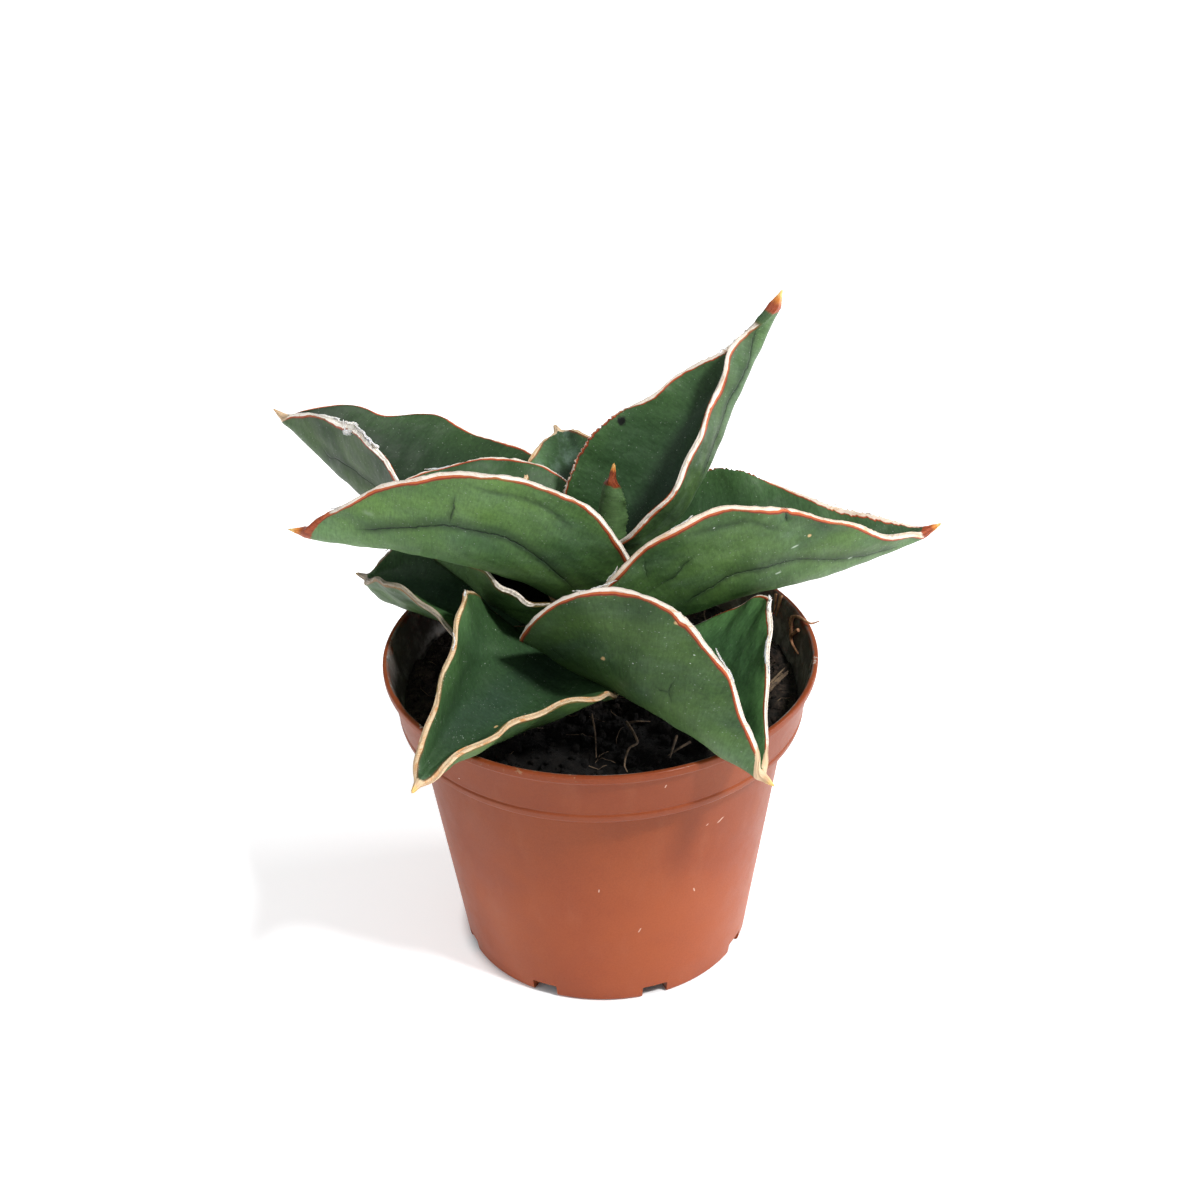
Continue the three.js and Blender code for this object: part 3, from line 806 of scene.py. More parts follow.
@dataclass
class Leaf:
    """One folded leaf: a clasp that grows from the stem, a channelled blade and a spine."""

    name: str
    seat: Place
    root: float
    length: float
    heading: tuple[float, float]
    rise: Place
    roll: Place
    fold: Place
    half_width: float
    base: tuple[float, float]
    belly: float
    taper: float
    open: tuple[float, float] = (0.0, 0.0)
    swells: tuple[tuple[int, float, float, float], ...] = ()
    seed: int = 1
    creases: tuple[Crease, ...] = ()
    marks: tuple[Mark, ...] = ()
    tears: tuple[Tear, ...] = ()
    flakes: tuple[Flake, ...] = ()
    margin: MarginTone = MarginTone.CREAM
    line_strength: float = 1.0
    # Painted light and shade: factors on the outer and inner face's colour, above 1 where a face is painted
    # lighter and below 1 where it is painted darker.
    painted_shading: tuple[float, float] = (1.0, 1.0)
    bloom: float = 0.2
    powder: float = 0.0
    inner_film: float = 0.0
    # The painted shade in the channel: how dark it is at the keel and how far from the keel it reaches.
    painted_channel_shade: float = 0.8
    channel_reach: float = 12.0
    bare_tip: float = 0.0
    bare_line: float = 1.0
    spine_foot: float = 4.6
    spine_slant: float = 2.2
    spine_straw: float = 0.0
    spine_tone: float = 1.0
    spine_bright: float = 1.0
    spine_half_width: float = 1.2
    frayed: float = 1.0
    finish: LeafFinish = field(default_factory=LeafFinish)

    stem_centre = (0.0, 2.0)
    stem_radius = 5.2
    root_depth = 0.9
    keel_thickness = 3.6
    spine_thickness = 2.2
    margin_thickness = 1.1
    paper_thickness = 0.32
    margin_rounding = 0.2
    spine_length = 4.5
    blade_stops_short = 2.0
    spine_end = 0.2
    spine_point = 0.5
    belly_ease = 0.12
    clasp_half_width = 5.0
    clasp_fold = 60.0
    clasp_pull = 0.4
    clasp_lean = 0.1
    clasp_growth = 2.0
    fold_spread = 0.5
    channel_closes_below = 4.5
    margin_wave = 0.35
    margin_waves = 5.5

    clasp_rows = 12
    blade_rows = 180
    strips = 40
    green_columns = 32
    paper_columns = 4
    cap_columns = 3
    flake_steps = 22
    flake_lanes = 5
    flake_crinkle = 0.11
    flake_half_thickness = 0.05
    flake_sharp_angle = 55.0

    def width_share(self, half: int, u: np.ndarray) -> np.ndarray:
        """Half width as a share of the full half width.

        Args:
            half: 0 for the left half, 1 for the right half.
            u: The way from the seat to the blade's end.

        Returns:
            The shares.
        """
        rising = mix(self.base[half], 1.0, np.sin(math.pi / 2 * np.clip(u / self.belly, 0, 1)))
        past = np.clip((u - self.belly) / (1 - self.belly), 0, 1)
        ease = self.belly_ease
        eased = (np.hypot(past, ease) - ease) / (math.hypot(1, ease) - ease)
        return np.where(u < self.belly, rising, 1 - eased**self.taper)

    def half_widths(self, u: np.ndarray) -> np.ndarray:
        """Both halves' widths in millimetres, with the margins' bulges.

        Args:
            u: The way from the seat to the tip.

        Returns:
            An array of two rows, left and right.
        """
        on_blade = u * self.length / (self.length - self.blade_stops_short)
        spine = np.clip((1 - u) * self.length / self.spine_length, 0, 1)
        widths = []
        for half in (0, 1):
            width = self.half_width * self.width_share(half, on_blade)
            for on_half, at, size, spread in self.swells:
                if on_half == half:
                    width = width + size * np.exp(-(((u - at) / spread) ** 2))
            thorn = mix(self.spine_end, self.spine_half_width, spine)
            widths.append((np.maximum(width, 0) ** 2.5 + thorn**2.5) ** 0.4)
        return np.array(widths)

    def clasp(self) -> Rows:
        """The keel line from the stem to the seat, and what each of its sections is like.

        Returns:
            Arrays over the clasp's rows.
        """
        v = np.arange(self.clasp_rows) / self.clasp_rows
        seat = np.array(self.seat)
        heading, rise = math.radians(self.heading[0]), math.radians(self.rise[0])
        along = heading_vector(np.array(heading), np.array(rise))
        bearing = math.atan2(seat[1] - self.stem_centre[1], seat[0] - self.stem_centre[0])
        reach = self.stem_radius * self.root_depth
        x, y = self.stem_centre
        root = np.array([x + reach * math.cos(bearing), y + reach * math.sin(bearing), self.root])
        pull = self.clasp_pull * np.linalg.norm(seat - root)
        lean = math.radians(mix(90.0, self.rise[0], self.clasp_lean))
        first = root + heading_vector(np.array(heading), np.array(lean)) * pull
        second = seat - along * pull
        w = (1 - v)[:, None]
        t = v[:, None]
        places = w**3 * root + 3 * w * w * t * first + 3 * w * t * t * second + t**3 * seat
        tangents = unit(w * w * (first - root) + 2 * w * t * (second - first) + t * t * (seat - second))
        grown = v**self.clasp_growth
        widths = [mix(self.clasp_half_width, self.half_width * share, grown) for share in self.base]
        folds = [mix(self.clasp_fold, self.fold[0] - opened, grown) for opened in self.open]
        return {
            "along": v * np.linalg.norm(seat - root) - np.linalg.norm(seat - root),
            "place": places,
            "forward": tangents,
            "heading": np.full_like(v, heading),
            "roll": math.radians(self.roll[0]) * grown,
            "widths": np.array(widths),
            "folds": np.radians(np.array(folds)),
            "keel": np.full_like(v, self.keel_thickness),
            "ripple": np.zeros_like(v),
        }

    def blade(self) -> Rows:
        """The keel line from the seat to the spine's end, and what each of its sections is like.

        Returns:
            Arrays over the blade's rows.
        """
        u = np.arange(self.blade_rows + 1) / self.blade_rows
        heading = np.radians(mix(self.heading[0], self.heading[1], u))
        forward = heading_vector(heading, np.radians(through(self.rise, u)))
        steps = forward[:-1] * self.length / self.blade_rows
        places = np.array(self.seat) + np.vstack([np.zeros(3), np.cumsum(steps, axis=0)])
        widths = self.half_widths(u)
        closing = smooth(widths.min(axis=0) / self.channel_closes_below)
        opening = 1 - smooth(2 * u)
        folds = [np.radians(through(self.fold, u) - opened * opening) * closing for opened in self.open]
        spine = np.clip((1 - u) * self.length / self.spine_length, 0, 1)
        keel = np.minimum(
            mix(self.keel_thickness, self.spine_thickness, u**0.8),
            mix(2 * self.spine_end, self.keel_thickness, spine**1.25),
        )
        waves = np.sin(2 * math.pi * self.margin_waves * u + self.seat[0])
        return {
            "along": u * self.length,
            "place": places,
            "forward": forward,
            "heading": heading,
            "roll": np.radians(through(self.roll, u)),
            "widths": widths,
            "folds": np.array(folds),
            "keel": keel,
            "ripple": self.margin_wave * waves * smooth(6 * u) * smooth(5 - 5 * u),
        }

    def sections(self) -> Rows:
        """Clasp and blade joined, with each section's own axes.

        Returns:
            Arrays over all rows.
        """
        clasp, blade = self.clasp(), self.blade()
        rows = {
            key: np.concatenate([clasp[key], blade[key]], axis=1 if key in ("widths", "folds") else 0)
            for key in blade
        }
        heading, forward = rows["heading"], rows["forward"]
        side = np.stack([-np.sin(heading), np.cos(heading), 0 * heading], axis=-1)
        side = unit(side - (side * forward).sum(-1, keepdims=True) * forward)
        up = np.cross(forward, side)
        roll = rows["roll"][:, None]
        rows["left"] = side * np.cos(roll) + up * np.sin(roll)
        rows["out"] = up * np.cos(roll) - side * np.sin(roll)
        return rows

    def unevenness(self, along: np.ndarray, aside: np.ndarray) -> np.ndarray:
        """Gentle swellings of the flesh, in millimetres.

        Args:
            along: Millimetres from the seat.
            aside: Millimetres from the keel.

        Returns:
            How far the surface stands out.
        """
        chance = random.Random(self.seed)
        total = np.zeros(np.broadcast(along, aside).shape)
        for size, wave in ((0.16, 17.0), (0.1, 9.0), (0.05, 4.5)):
            for _ in range(3):
                turn, phase = chance.uniform(0, math.pi), chance.uniform(0, 2 * math.pi)
                way = along * math.cos(turn) + aside * math.sin(turn)
                total += size * np.sin(2 * math.pi * way / wave + phase) / 1.7
        return total

    def pressed(self, along: np.ndarray, aside: np.ndarray) -> np.ndarray:
        """How deep the creases press the outer face in, in millimetres.

        Args:
            along: Millimetres from the seat.
            aside: Millimetres from the keel.

        Returns:
            The depths.
        """
        total = np.zeros(along.shape)
        for crease in self.creases:
            nearest = np.full(along.shape, 1e9)
            for (x0, y0), (x1, y1) in zip(crease.points, crease.points[1:]):
                length = math.hypot(x1 - x0, y1 - y0)
                way = ((along - x0) * (x1 - x0) + (aside - y0) * (y1 - y0)) / length**2
                way = np.clip(way, 0, 1)
                away = np.hypot(along - x0 - way * (x1 - x0), aside - y0 - way * (y1 - y0))
                nearest = np.minimum(nearest, away)
            total = np.maximum(total, crease.depth * np.exp(-((nearest / crease.reach) ** 2)))
        return total

    def frayed_edge(self, along: np.ndarray, half: int) -> np.ndarray:
        """How far the papery edge stands out or is worn away, in millimetres.

        Args:
            along: Millimetres from the seat.
            half: 0 for the left half, 1 for the right half.

        Returns:
            The offsets across the leaf.
        """
        chance = random.Random(100 * self.seed + half)
        offset = np.zeros_like(along)
        for size, wave in ((0.06, 6.0), (0.035, 2.3), (0.02, 1.1)):
            offset += size * np.sin(2 * math.pi * along / wave + chance.uniform(0, 2 * math.pi))
        for _ in range(int(self.length / 9)):
            at, wide = chance.uniform(0, self.length), chance.uniform(0.3, 0.8)
            offset -= chance.uniform(0.06, 0.22) * np.exp(-(((along - at) / wide) ** 2))
        offset *= self.frayed
        for tear in self.tears:
            if tear.half == half:
                near, turn = np.exp(-(((along - tear.along) / tear.extent) ** 4)), 2 * math.pi * along
                offset += near * (0.16 * np.sin(turn / 0.9) + 0.12 * np.sin(turn / 0.53 + 1))
        return offset

    def torn(self, along: np.ndarray, half: int) -> np.ndarray:
        """How much wider than usual the papery margin is, in millimetres.

        Args:
            along: Millimetres from the seat.
            half: 0 for the left half, 1 for the right half.

        Returns:
            The extra widths.
        """
        extra = np.zeros(np.shape(along))
        for tear in self.tears:
            if tear.half == half:
                turn = 2 * math.pi * along
                ragged = 1 + 0.22 * np.sin(turn / 1.9) + 0.18 * np.sin(turn / 0.8)
                extra = extra + tear.extra * ragged * np.exp(-(((along - tear.along) / tear.extent) ** 4))
        return extra

    def closed_tip(self, along: np.ndarray) -> np.ndarray:
        """Where the channel has closed and the leaf is solid: 0 on the blade, 1 at the tip.

        Args:
            along: Millimetres from the seat.

        Returns:
            The shares.
        """
        if self.bare_line > 0 or self.bare_tip <= 0:
            return np.zeros_like(along)
        return smooth((1.15 * self.bare_tip - (self.length - along)) / (0.35 * self.bare_tip))

    def half(self, rows: Rows, half: int) -> Rows:
        """Both faces of one half, from the keel to the edge.

        Args:
            rows: The leaf's sections.
            half: 0 for the left half, 1 for the right half.

        Returns:
            Arrays over rows and columns: outer and inner points, distances and edge direction.
        """
        sign = 1.0 if half == 0 else -1.0
        width = rows["widths"][half][:, None]
        fold = rows["folds"][half][:, None]
        left, out = rows["left"][:, None, :], rows["out"][:, None, :]

        strip = np.arange(self.strips) / self.strips
        turn = fold * smooth(strip / self.fold_spread)[None]
        steps = sign * left * np.cos(turn)[..., None] + out * np.sin(turn)[..., None]
        steps = steps * (width / self.strips)[..., None]
        start = rows["place"][:, None, :]
        middle = np.concatenate([start, start + np.cumsum(steps, axis=1)], axis=1)

        paper = np.minimum(self.finish.margin_width, 0.3 * width)
        green = np.arange(self.green_columns + 1) / self.green_columns
        papery = np.arange(1, self.paper_columns + 1) / self.paper_columns
        from_keel = np.concatenate([green * (width - paper), width - paper + papery * paper], axis=1)
        t = from_keel / width
        low = np.minimum((t * self.strips).astype(int), self.strips - 1)
        rest = (t * self.strips - low)[..., None]
        row = np.arange(len(low))[:, None]
        centre = middle[row, low] * (1 - rest) + middle[row, low + 1] * rest

        turn = fold * smooth(t / self.fold_spread)
        face = -sign * left * np.sin(turn)[..., None] + out * np.cos(turn)[..., None]
        across = sign * left * np.cos(turn)[..., None] + out * np.sin(turn)[..., None]
        along = np.broadcast_to(rows["along"][:, None], t.shape)
        aside = sign * from_keel
        edge = width - from_keel

        keel = rows["keel"][:, None]
        closed = self.closed_tip(rows["along"])[:, None]
        thick = mix(keel, np.minimum(self.margin_thickness + 1.2 * closed, keel), t**1.3) / 2
        on_paper = np.clip((paper - edge) / paper, 0, 1) * (1 - closed)
        thin = np.minimum(self.paper_thickness, keel) / 2
        thick = mix(thick, np.minimum(thick, thin), smooth(on_paper))
        groove = 0.06 * np.exp(-(((edge - paper - 0.15) / 0.3) ** 2)) * smooth((keel - 1.0) / 1.0)
        ripple = rows["ripple"][:, None] * sign * t**3
        settled = smooth(width / 6)
        uneven = self.unevenness(along, aside) * settled * smooth(edge / 3)
        depth = self.pressed(along, aside) * smooth(edge / 1.5)
        worn = self.frayed_edge(rows["along"], half)[:, None] * on_paper**1.5 * settled
        curl = 0.06 * np.sin(along * 2.1 + self.seed) * on_paper**2 * settled * self.frayed
        centre = centre + across * worn[..., None] + face * (ripple + uneven + curl)[..., None]
        return {
            "outer": centre - face * (thick - groove - depth)[..., None],
            "inner": centre + face * (thick - groove)[..., None],
            "along": along,
            "aside": aside,
            "edge": edge,
            "torn": np.broadcast_to(self.torn(rows["along"], half)[:, None], t.shape),
            "cap_from": centre[:, -1],
            "cap_across": across[:, -1],
            "cap_face": face[:, -1],
            "cap_thick": thick[:, -1],
        }

    def cap(self, side: Rows) -> np.ndarray:
        """Points round the edge, from the outer face to the inner one.

        Args:
            side: One half's arrays.

        Returns:
            Points over rows and cap columns.
        """
        turns = np.pi * np.arange(1, self.cap_columns + 1) / (self.cap_columns + 1)
        thick = side["cap_thick"][:, None, None]
        reach = np.sin(turns)[None, :, None] * np.minimum(self.margin_rounding, thick)
        lift = -np.cos(turns)[None, :, None] * thick
        start, across, face = (side[key][:, None] for key in ("cap_from", "cap_across", "cap_face"))
        return start + across * reach + face * lift

    def build(self) -> None:
        """Makes the leaf's mesh and dresses it."""
        rows = self.sections()
        halves = (self.half(rows, 0), self.half(rows, 1))
        left, right = halves
        rings: list[np.ndarray] = []
        ends = {"along": self.length, "aside": 0.0, "edge": 0.0, "torn": 0.0, "inner": 0.5}
        values: dict[str, list[np.ndarray]] = {name: [] for name in ends}

        def take(side: Rows, face: str, order: slice) -> None:
            """Adds one face of one half to the rings.

            Args:
                side: One half's arrays.
                face: Which of its faces.
                order: Which columns, and which way round.
            """
            rings.append(side[face][:, order])
            shape = rings[-1].shape[:2]
            for name, found in values.items():
                found.append(np.full(shape, face == "inner") if name == "inner" else side[name][:, order])

        def take_cap(side: Rows, way: int) -> None:
            """Adds one rounded edge to the rings, forwards or backwards.

            Args:
                side: One half's arrays.
                way: 1 for forwards, -1 for backwards.
            """
            rings.append(self.cap(side)[:, ::way])
            shape = rings[-1].shape[:2]
            facing = np.linspace(0.25, 0.75, shape[1])[::way]
            for name, found in values.items():
                found.append(np.broadcast_to(facing if name == "inner" else side[name][:, -1:], shape))

        take(left, "outer", slice(0, None))
        take_cap(left, 1)
        take(left, "inner", slice(None, None, -1))
        take(right, "inner", slice(1, None))
        take_cap(right, -1)
        take(right, "outer", slice(None, 0, -1))
        points = np.concatenate(rings, axis=1)
        count, around = points.shape[:2]
        tip = rows["place"][-1]
        point = tip + unit(tip - rows["place"][-2]) * self.spine_point
        last = (count - 1) * around
        faces = tube_faces(count, around)
        faces += [(last + c, last + (c + 1) % around, count * around) for c in range(around)]
        faces.append(tuple(range(around))[::-1])
        every = np.vstack([points.reshape(-1, 3), point])
        skin = LeafSkin(self).build()
        piece = make_piece(f"{self.name}_blade", every, faces, skin, f"leaf_{self.name}")
        for name, end in ends.items():
            add_values(piece, name, np.append(np.concatenate(values[name], axis=1).ravel(), end))
        if self.flakes:
            self.build_flakes(halves)

    def build_flakes(self, halves: tuple[Rows, Rows]) -> None:
        """Makes the loose strips of the papery margins as one thin piece.

        Args:
            halves: Both halves' arrays.
        """
        points: list[np.ndarray] = []
        faces: Faces = []
        steps, lanes = self.flake_steps, self.flake_lanes
        for number, flake in enumerate(self.flakes):
            side = halves[flake.half]
            chance = random.Random(31 * self.seed + number)
            phase = chance.uniform(0, 6.28)
            start = len(points)
            for i in range(steps + 1):
                share = i / steps
                at = flake.along + flake.run * share
                root, across, face = (
                    np.array([np.interp(at, side["along"][:, -1], side[key][:, k]) for k in range(3)])
                    for key in ("cap_from", "cap_across", "cap_face")
                )
                across, face = unit(across), unit(face)
                wide = flake.width * (1 - flake.taper * share**1.6) * (1 + 0.18 * math.sin(9 * share + phase))
                bow = math.sin(math.pi * share)
                out = flake.lift * (bow if flake.bowed else share**1.4) - 0.05
                over = flake.curl * (bow if flake.bowed else share**1.7)
                over += 0.12 * math.sin(7 * share + phase) * share
                above, below = [], []
                for lane in range(lanes):
                    beside = (lane / (lanes - 1) - 0.5) * wide
                    cup = 0.25 * flake.width * (1 - (2 * lane / (lanes - 1) - 1) ** 2)
                    crinkle = chance.uniform(-self.flake_crinkle, self.flake_crinkle)
                    middle = root + across * (out + beside + 0.1 + crinkle) + face * (over + cup - crinkle)
                    above.append(middle + face * self.flake_half_thickness)
                    below.append(middle - face * self.flake_half_thickness)
                points += above + below[::-1]
            around = range(start, start + 2 * lanes)
            faces += tube_faces(steps + 1, 2 * lanes, start)
            faces += [tuple(around)[::-1], tuple(v + steps * 2 * lanes for v in around)]
        paper = PaperFinish().material(self.name)
        piece = make_piece(f"{self.name}_flakes", np.array(points), faces, paper, None)
        piece.data.set_sharp_from_angle(angle=math.radians(self.flake_sharp_angle))


@dataclass(frozen=True)
class Scratch:
    """A short pale scratch on the pot's front: millimetres to the right, height, length and lean."""

    x: float
    z: float
    length: float
    lean: float = 0.0
    width: float = 0.16


@dataclass(frozen=True)
class PlasticFinish:
    """Terracotta-coloured polypropylene, lightly scuffed and dusted with peat, with painted shade that
    darkens its upper part.
    """

    colour: Colour = srgb(146, 72, 38)
    deep: Colour = srgb(135, 63, 33)
    pale: Colour = srgb(152, 84, 54)
    soil: Colour = srgb(94, 88, 84)
    dry_soil: Colour = srgb(140, 136, 132)
    crumb: Colour = srgb(150, 128, 100)
    scuff: Colour = srgb(226, 196, 178)
    lime: Colour = srgb(206, 204, 196)
    roughness: float = 0.44
    # How dark the painted shade on the pot's upper part is.
    painted_top_shade: float = 0.78
    scratches: tuple[Scratch, ...] = (
        Scratch(22.2, 43.0, 1.0, 1.3, 0.3),
        Scratch(19.6, 43.4, 0.4, 1.0, 0.2),
        Scratch(11.5, 59.5, 0.8, 0.4),
        Scratch(17.1, 26.8, 1.1, -0.2),
        Scratch(-1.3, 31.2, 0.9, 0.1),
        Scratch(6.4, 19.5, 1.2, 0.5),
    )
    deposits: tuple[tuple[float, float, float, float], ...] = (
        (41.0, -4.4, 63.2, 3.4),
        (39.4, -8.0, 62.6, 3.4),
        (36.2, -18.2, 63.0, 2.6),
        (-33.0, -24.0, 63.4, 3.0),
        (-20.0, 35.0, 63.4, 3.4),
    )

    def material(self, rim: float) -> bpy.types.Material:
        """Builds the finish of a pot whose rim is so many millimetres high.

        Args:
            rim: The rim's height.

        Returns:
            The material.
        """
        made = Finish("pot_plastic")
        place = made.object_place()
        parts = made.split(place)
        height = parts[2]
        clouds, speckle = made.noise(place, 42.0), made.noise(place, 3200.0, 2.0, 0.7)
        flow = made.noise(place, (160.0, 160.0, 55.0), 3.0, 0.6)
        colour = made.blend(made.step(clouds, 0.3, 0.7), self.deep, self.colour)
        colour = made.blend(made.step(flow, 0.5, 0.8, (0.0, 0.35)), colour, self.pale)
        # Painted shade: the pot darkens from 20 mm to 50 mm up; the fine speckle is its own colour.
        shade = made.step(speckle, 0.3, 0.7, (0.94, 1.06)) * made.step(height, 0.02, 0.05, (1.0, self.painted_top_shade))
        colour = made.shaded(colour, shade)

        smear = made.noise(place, 170.0, 4.0, 0.65)
        low = made.step(height, (rim - 4.0) * MM, (rim - 0.4) * MM, (1.0, 0.4))
        dirty = made.step(smear + low, 0.75, 1.0) * made.value_of("inside")
        dry = made.step(made.noise(place, 260.0, 4.0, 0.7), 0.46, 0.72)
        colour = made.blend(dirty, colour, made.blend(dry, self.soil, self.dry_soil))
        crumbs = made.step(made.noise(place, 900.0, 3.0, 0.7), 0.6, 0.68, (0.0, 0.5))
        crumbs = crumbs * made.step(height, (rim - 1.6) * MM, (rim - 0.1) * MM)
        heaped = made.step(made.noise(place, 60.0, 2.0), 0.5, 0.66)
        colour = made.blend(crumbs * heaped, colour, self.crumb)
        for x, y, z, radius in self.deposits:
            near = made.step(made.distance(place, (x * MM, y * MM, z * MM)), 0.0, radius * MM, (0.34, 0.0))
            limy = made.step(made.noise(place, 1100.0, 3.0, 0.7) + near, 0.74, 0.86, (0.0, 0.6))
            colour = made.blend(limy * made.step(near, 0.0, 0.1), colour, self.lime)

        away, chances = made.cells(place, (150.0, 150.0, 230.0))
        nick = made.math("LESS_THAN", away, chances[1] * 0.06) * made.math("GREATER_THAN", chances[0], 0.95)
        for scratch in self.scratches:
            nick = made.math("MAXIMUM", nick, self.scratch(made, scratch, parts))
        inputs = {
            "Base Color": made.blend(nick * 0.6, colour, self.scuff),
            "Roughness": self.roughness + made.step(smear, 0.3, 0.7) * 0.1 + nick * 0.2 + dirty * 0.4,
            "Specular IOR Level": 0.08,
            "Coat Weight": 0.16,
            "Coat Roughness": 0.2,
            "Normal": made.bump(speckle, 0.00004, 0.5, made.bump(clouds, 0.0005, 0.35)),
        }
        return made.dressed(inputs, (0.04, (0.003, 0.0012, 0.0006)))

    def scratch(self, made: Finish, scratch: Scratch, parts: list[Value]) -> Value:
        """One scratch on the front of the pot.

        Args:
            made: The material being built.
            scratch: The scratch.
            parts: The place on the pot, split in three.

        Returns:
            1 on the scratch, 0 elsewhere.
        """
        x, y, z = parts
        up = z - scratch.z * MM
        off = abs(x - scratch.x * MM - up * scratch.lean)
        thin = made.fade(off, scratch.width * 0.3 * MM, scratch.width * MM)
        half = scratch.length / 2 * MM
        return thin * made.fade(abs(up), half * 0.6, half) * made.math("LESS_THAN", y, 0.0)


@dataclass
class Pot:
    """The round nursery pot: a tapered wall, a stepped collar, a rolled lip and drain slots."""

    rim_radius: float = 42.5
    height: float = 64.0
    base_radius: float = 28.4
    wall: float = 1.1
    floor_thickness: float = 1.4
    base_rounding: float = 0.9
    collar_drop: float = 12.4
    collar_step: float = 1.3
    collar_taper: float = 2.25
    inside_step_rise: float = 0.9
    lip_depth: float = 1.5
    lip_overhang: float = 0.9
    body_top_radius: float = 36.5
    slot_count: int = 8
    slot_width: float = 5.2
    slot_height: float = 2.8
    slot_reach: float = 4.0
    slot_rounding: float = 0.35
    first_slot: float = 244.0
    sectors: int = 224
    corner_steps: int = 4
    longest_run: float = 6.0
    sharp_angle: float = 40.0
    finish: PlasticFinish = PlasticFinish()

    @property
    def collar_foot(self) -> float:
        """The height at which the collar starts."""
        return self.height - self.collar_drop

    @property
    def body_top(self) -> float:
        """The height at which the tapered body ends."""
        return self.collar_foot - self.collar_step

    @property
    def collar_radius(self) -> float:
        """The collar's radius at its foot."""
        return self.rim_radius - self.lip_overhang - self.collar_taper

    def corners(self) -> list[Place]:
        """The wall's outline as corners: radius, height and how far each is rounded.

        Returns:
            The corners, up the outside from the middle of the base and down the inside.
        """
        foot, top, collar = self.collar_foot, self.body_top, self.collar_radius
        lip, lip_foot = self.rim_radius - self.lip_overhang, self.height - self.lip_depth
        return [
            (0.0, 0.0, 0.0),
            (self.base_radius, 0.0, self.base_rounding),
            (self.body_top_radius, top, 0.5),
            (self.body_top_radius + 0.6, foot - 0.3, 0.25),
            (collar + 0.08, foot, 0.5),
            (collar + 0.48, foot + 1.55, 0.4),
            (collar + 0.26, foot + 1.95, 0.18),
            (collar + 0.46, foot + 2.35, 0.18),
            (lip - 0.25, lip_foot - 0.8, 0.3),
            (self.rim_radius - 0.15, lip_foot - 0.1, 0.25),
            (self.rim_radius, self.height, 0.5),
            (self.rim_radius - self.wall, self.height, 0.4),
            (collar - self.wall, foot + self.wall, 0.8),
            (self.body_top_radius - self.wall, top + self.inside_step_rise, 0.8),
            (self.base_radius - self.wall, self.floor_thickness, 0.8),
            (0.0, self.floor_thickness, 0.0),
        ]

    def outline(self) -> list[tuple[float, float]]:
        """The wall's outline with its corners rounded and its long runs divided.

        Returns:
            Radius and height pairs.
        """
        corners = self.corners()
        made: list[tuple[float, float]] = [corners[0][:2]]
        for before, corner, after in zip(corners, corners[1:], corners[2:]):
            here = Vector(corner[:2])
            back, onward = Vector(before[:2]) - here, Vector(after[:2]) - here
            reach = min(corner[2], back.length / 2, onward.length / 2)
            start, end = here + back.normalized() * reach, here + onward.normalized() * reach
            last = Vector(made[-1])
            runs = max(1, int((start - last).length / self.longest_run))
            made += [tuple(last.lerp(start, i / runs)) for i in range(1, runs)]
            shares = [i / self.corner_steps for i in range(self.corner_steps + 1)]
            made += [tuple(start.lerp(here, share).lerp(here.lerp(end, share), share)) for share in shares]
        made.append(corners[-1][:2])
        return made

    def slots(self) -> bpy.types.Object:
        """The drain slots' shapes, as one cutter.

        Returns:
            The cutter, as an object of its own.
        """
        mesh = bmesh.new()
        lengths = (2 * self.slot_reach, self.slot_width, 2 * self.slot_height)
        size = Matrix.Diagonal([length * MM for length in lengths] + [1])
        for i in range(self.slot_count):
            turn = math.radians(self.first_slot + 360 / self.slot_count * i)
            place = Matrix.Rotation(turn, 4, "Z") @ Matrix.Translation((self.base_radius * MM, 0, 0))
            bmesh.ops.create_cube(mesh, size=1, matrix=place @ size)
        rounding = self.slot_rounding * MM
        bmesh.ops.bevel(mesh, geom=mesh.edges[:], offset=rounding, segments=3, affect="EDGES", profile=0.5)
        data = bpy.data.meshes.new("slot_cutter")
        mesh.to_mesh(data)
        mesh.free()
        return link("slot_cutter", data)

    def build(self) -> None:
        """Turns the wall, cuts the drain slots and dresses the pot."""
        outline = self.outline()
        points = [(0.0, 0.0, outline[0][1])]
        for radius, height in outline[1:-1]:
            points += ring(radius, height, self.sectors)
        points.append((0.0, 0.0, outline[-1][1]))
        faces = lathe_faces(len(outline) - 2, self.sectors)
        piece = make_piece("pot_shell", points, faces, self.finish.material(self.height), "pot")
        self.cut(piece)
        values = [
            math.hypot(v.co.x, v.co.y) / MM < self.wall_inside(v.co.z / MM) + 0.3
            and v.co.z / MM > self.floor_thickness - 0.2
            for v in piece.data.vertices
        ]
        add_values(piece, "inside", np.array(values))

    def wall_inside(self, height: float) -> float:
        """The inside radius of the wall at a height.

        Args:
            height: Millimetres above the floor that the pot stands on.

        Returns:
            The radius in millimetres.
        """
        top, foot = self.body_top + self.inside_step_rise, self.collar_foot + self.wall
        radii = [self.base_radius, self.body_top_radius, self.collar_radius, self.rim_radius]
        return float(np.interp(height, [self.floor_thickness, top, foot, self.height], radii)) - self.wall

    def cut(self, piece: bpy.types.Object) -> None:
        """Cuts the drain slots out of the wall.

        Args:
            piece: The pot's wall.
        """
        cutter = self.slots()
        cutting = piece.modifiers.new("drain_slots", "BOOLEAN")
        cutting.operation, cutting.solver, cutting.object = "DIFFERENCE", "EXACT", cutter
        graph = bpy.context.evaluated_depsgraph_get()
        cut = bpy.data.meshes.new_from_object(piece.evaluated_get(graph))
        piece.modifiers.clear()
        piece.data = cut
        cut.set_sharp_from_angle(angle=math.radians(self.sharp_angle))
        bpy.data.objects.remove(cutter)


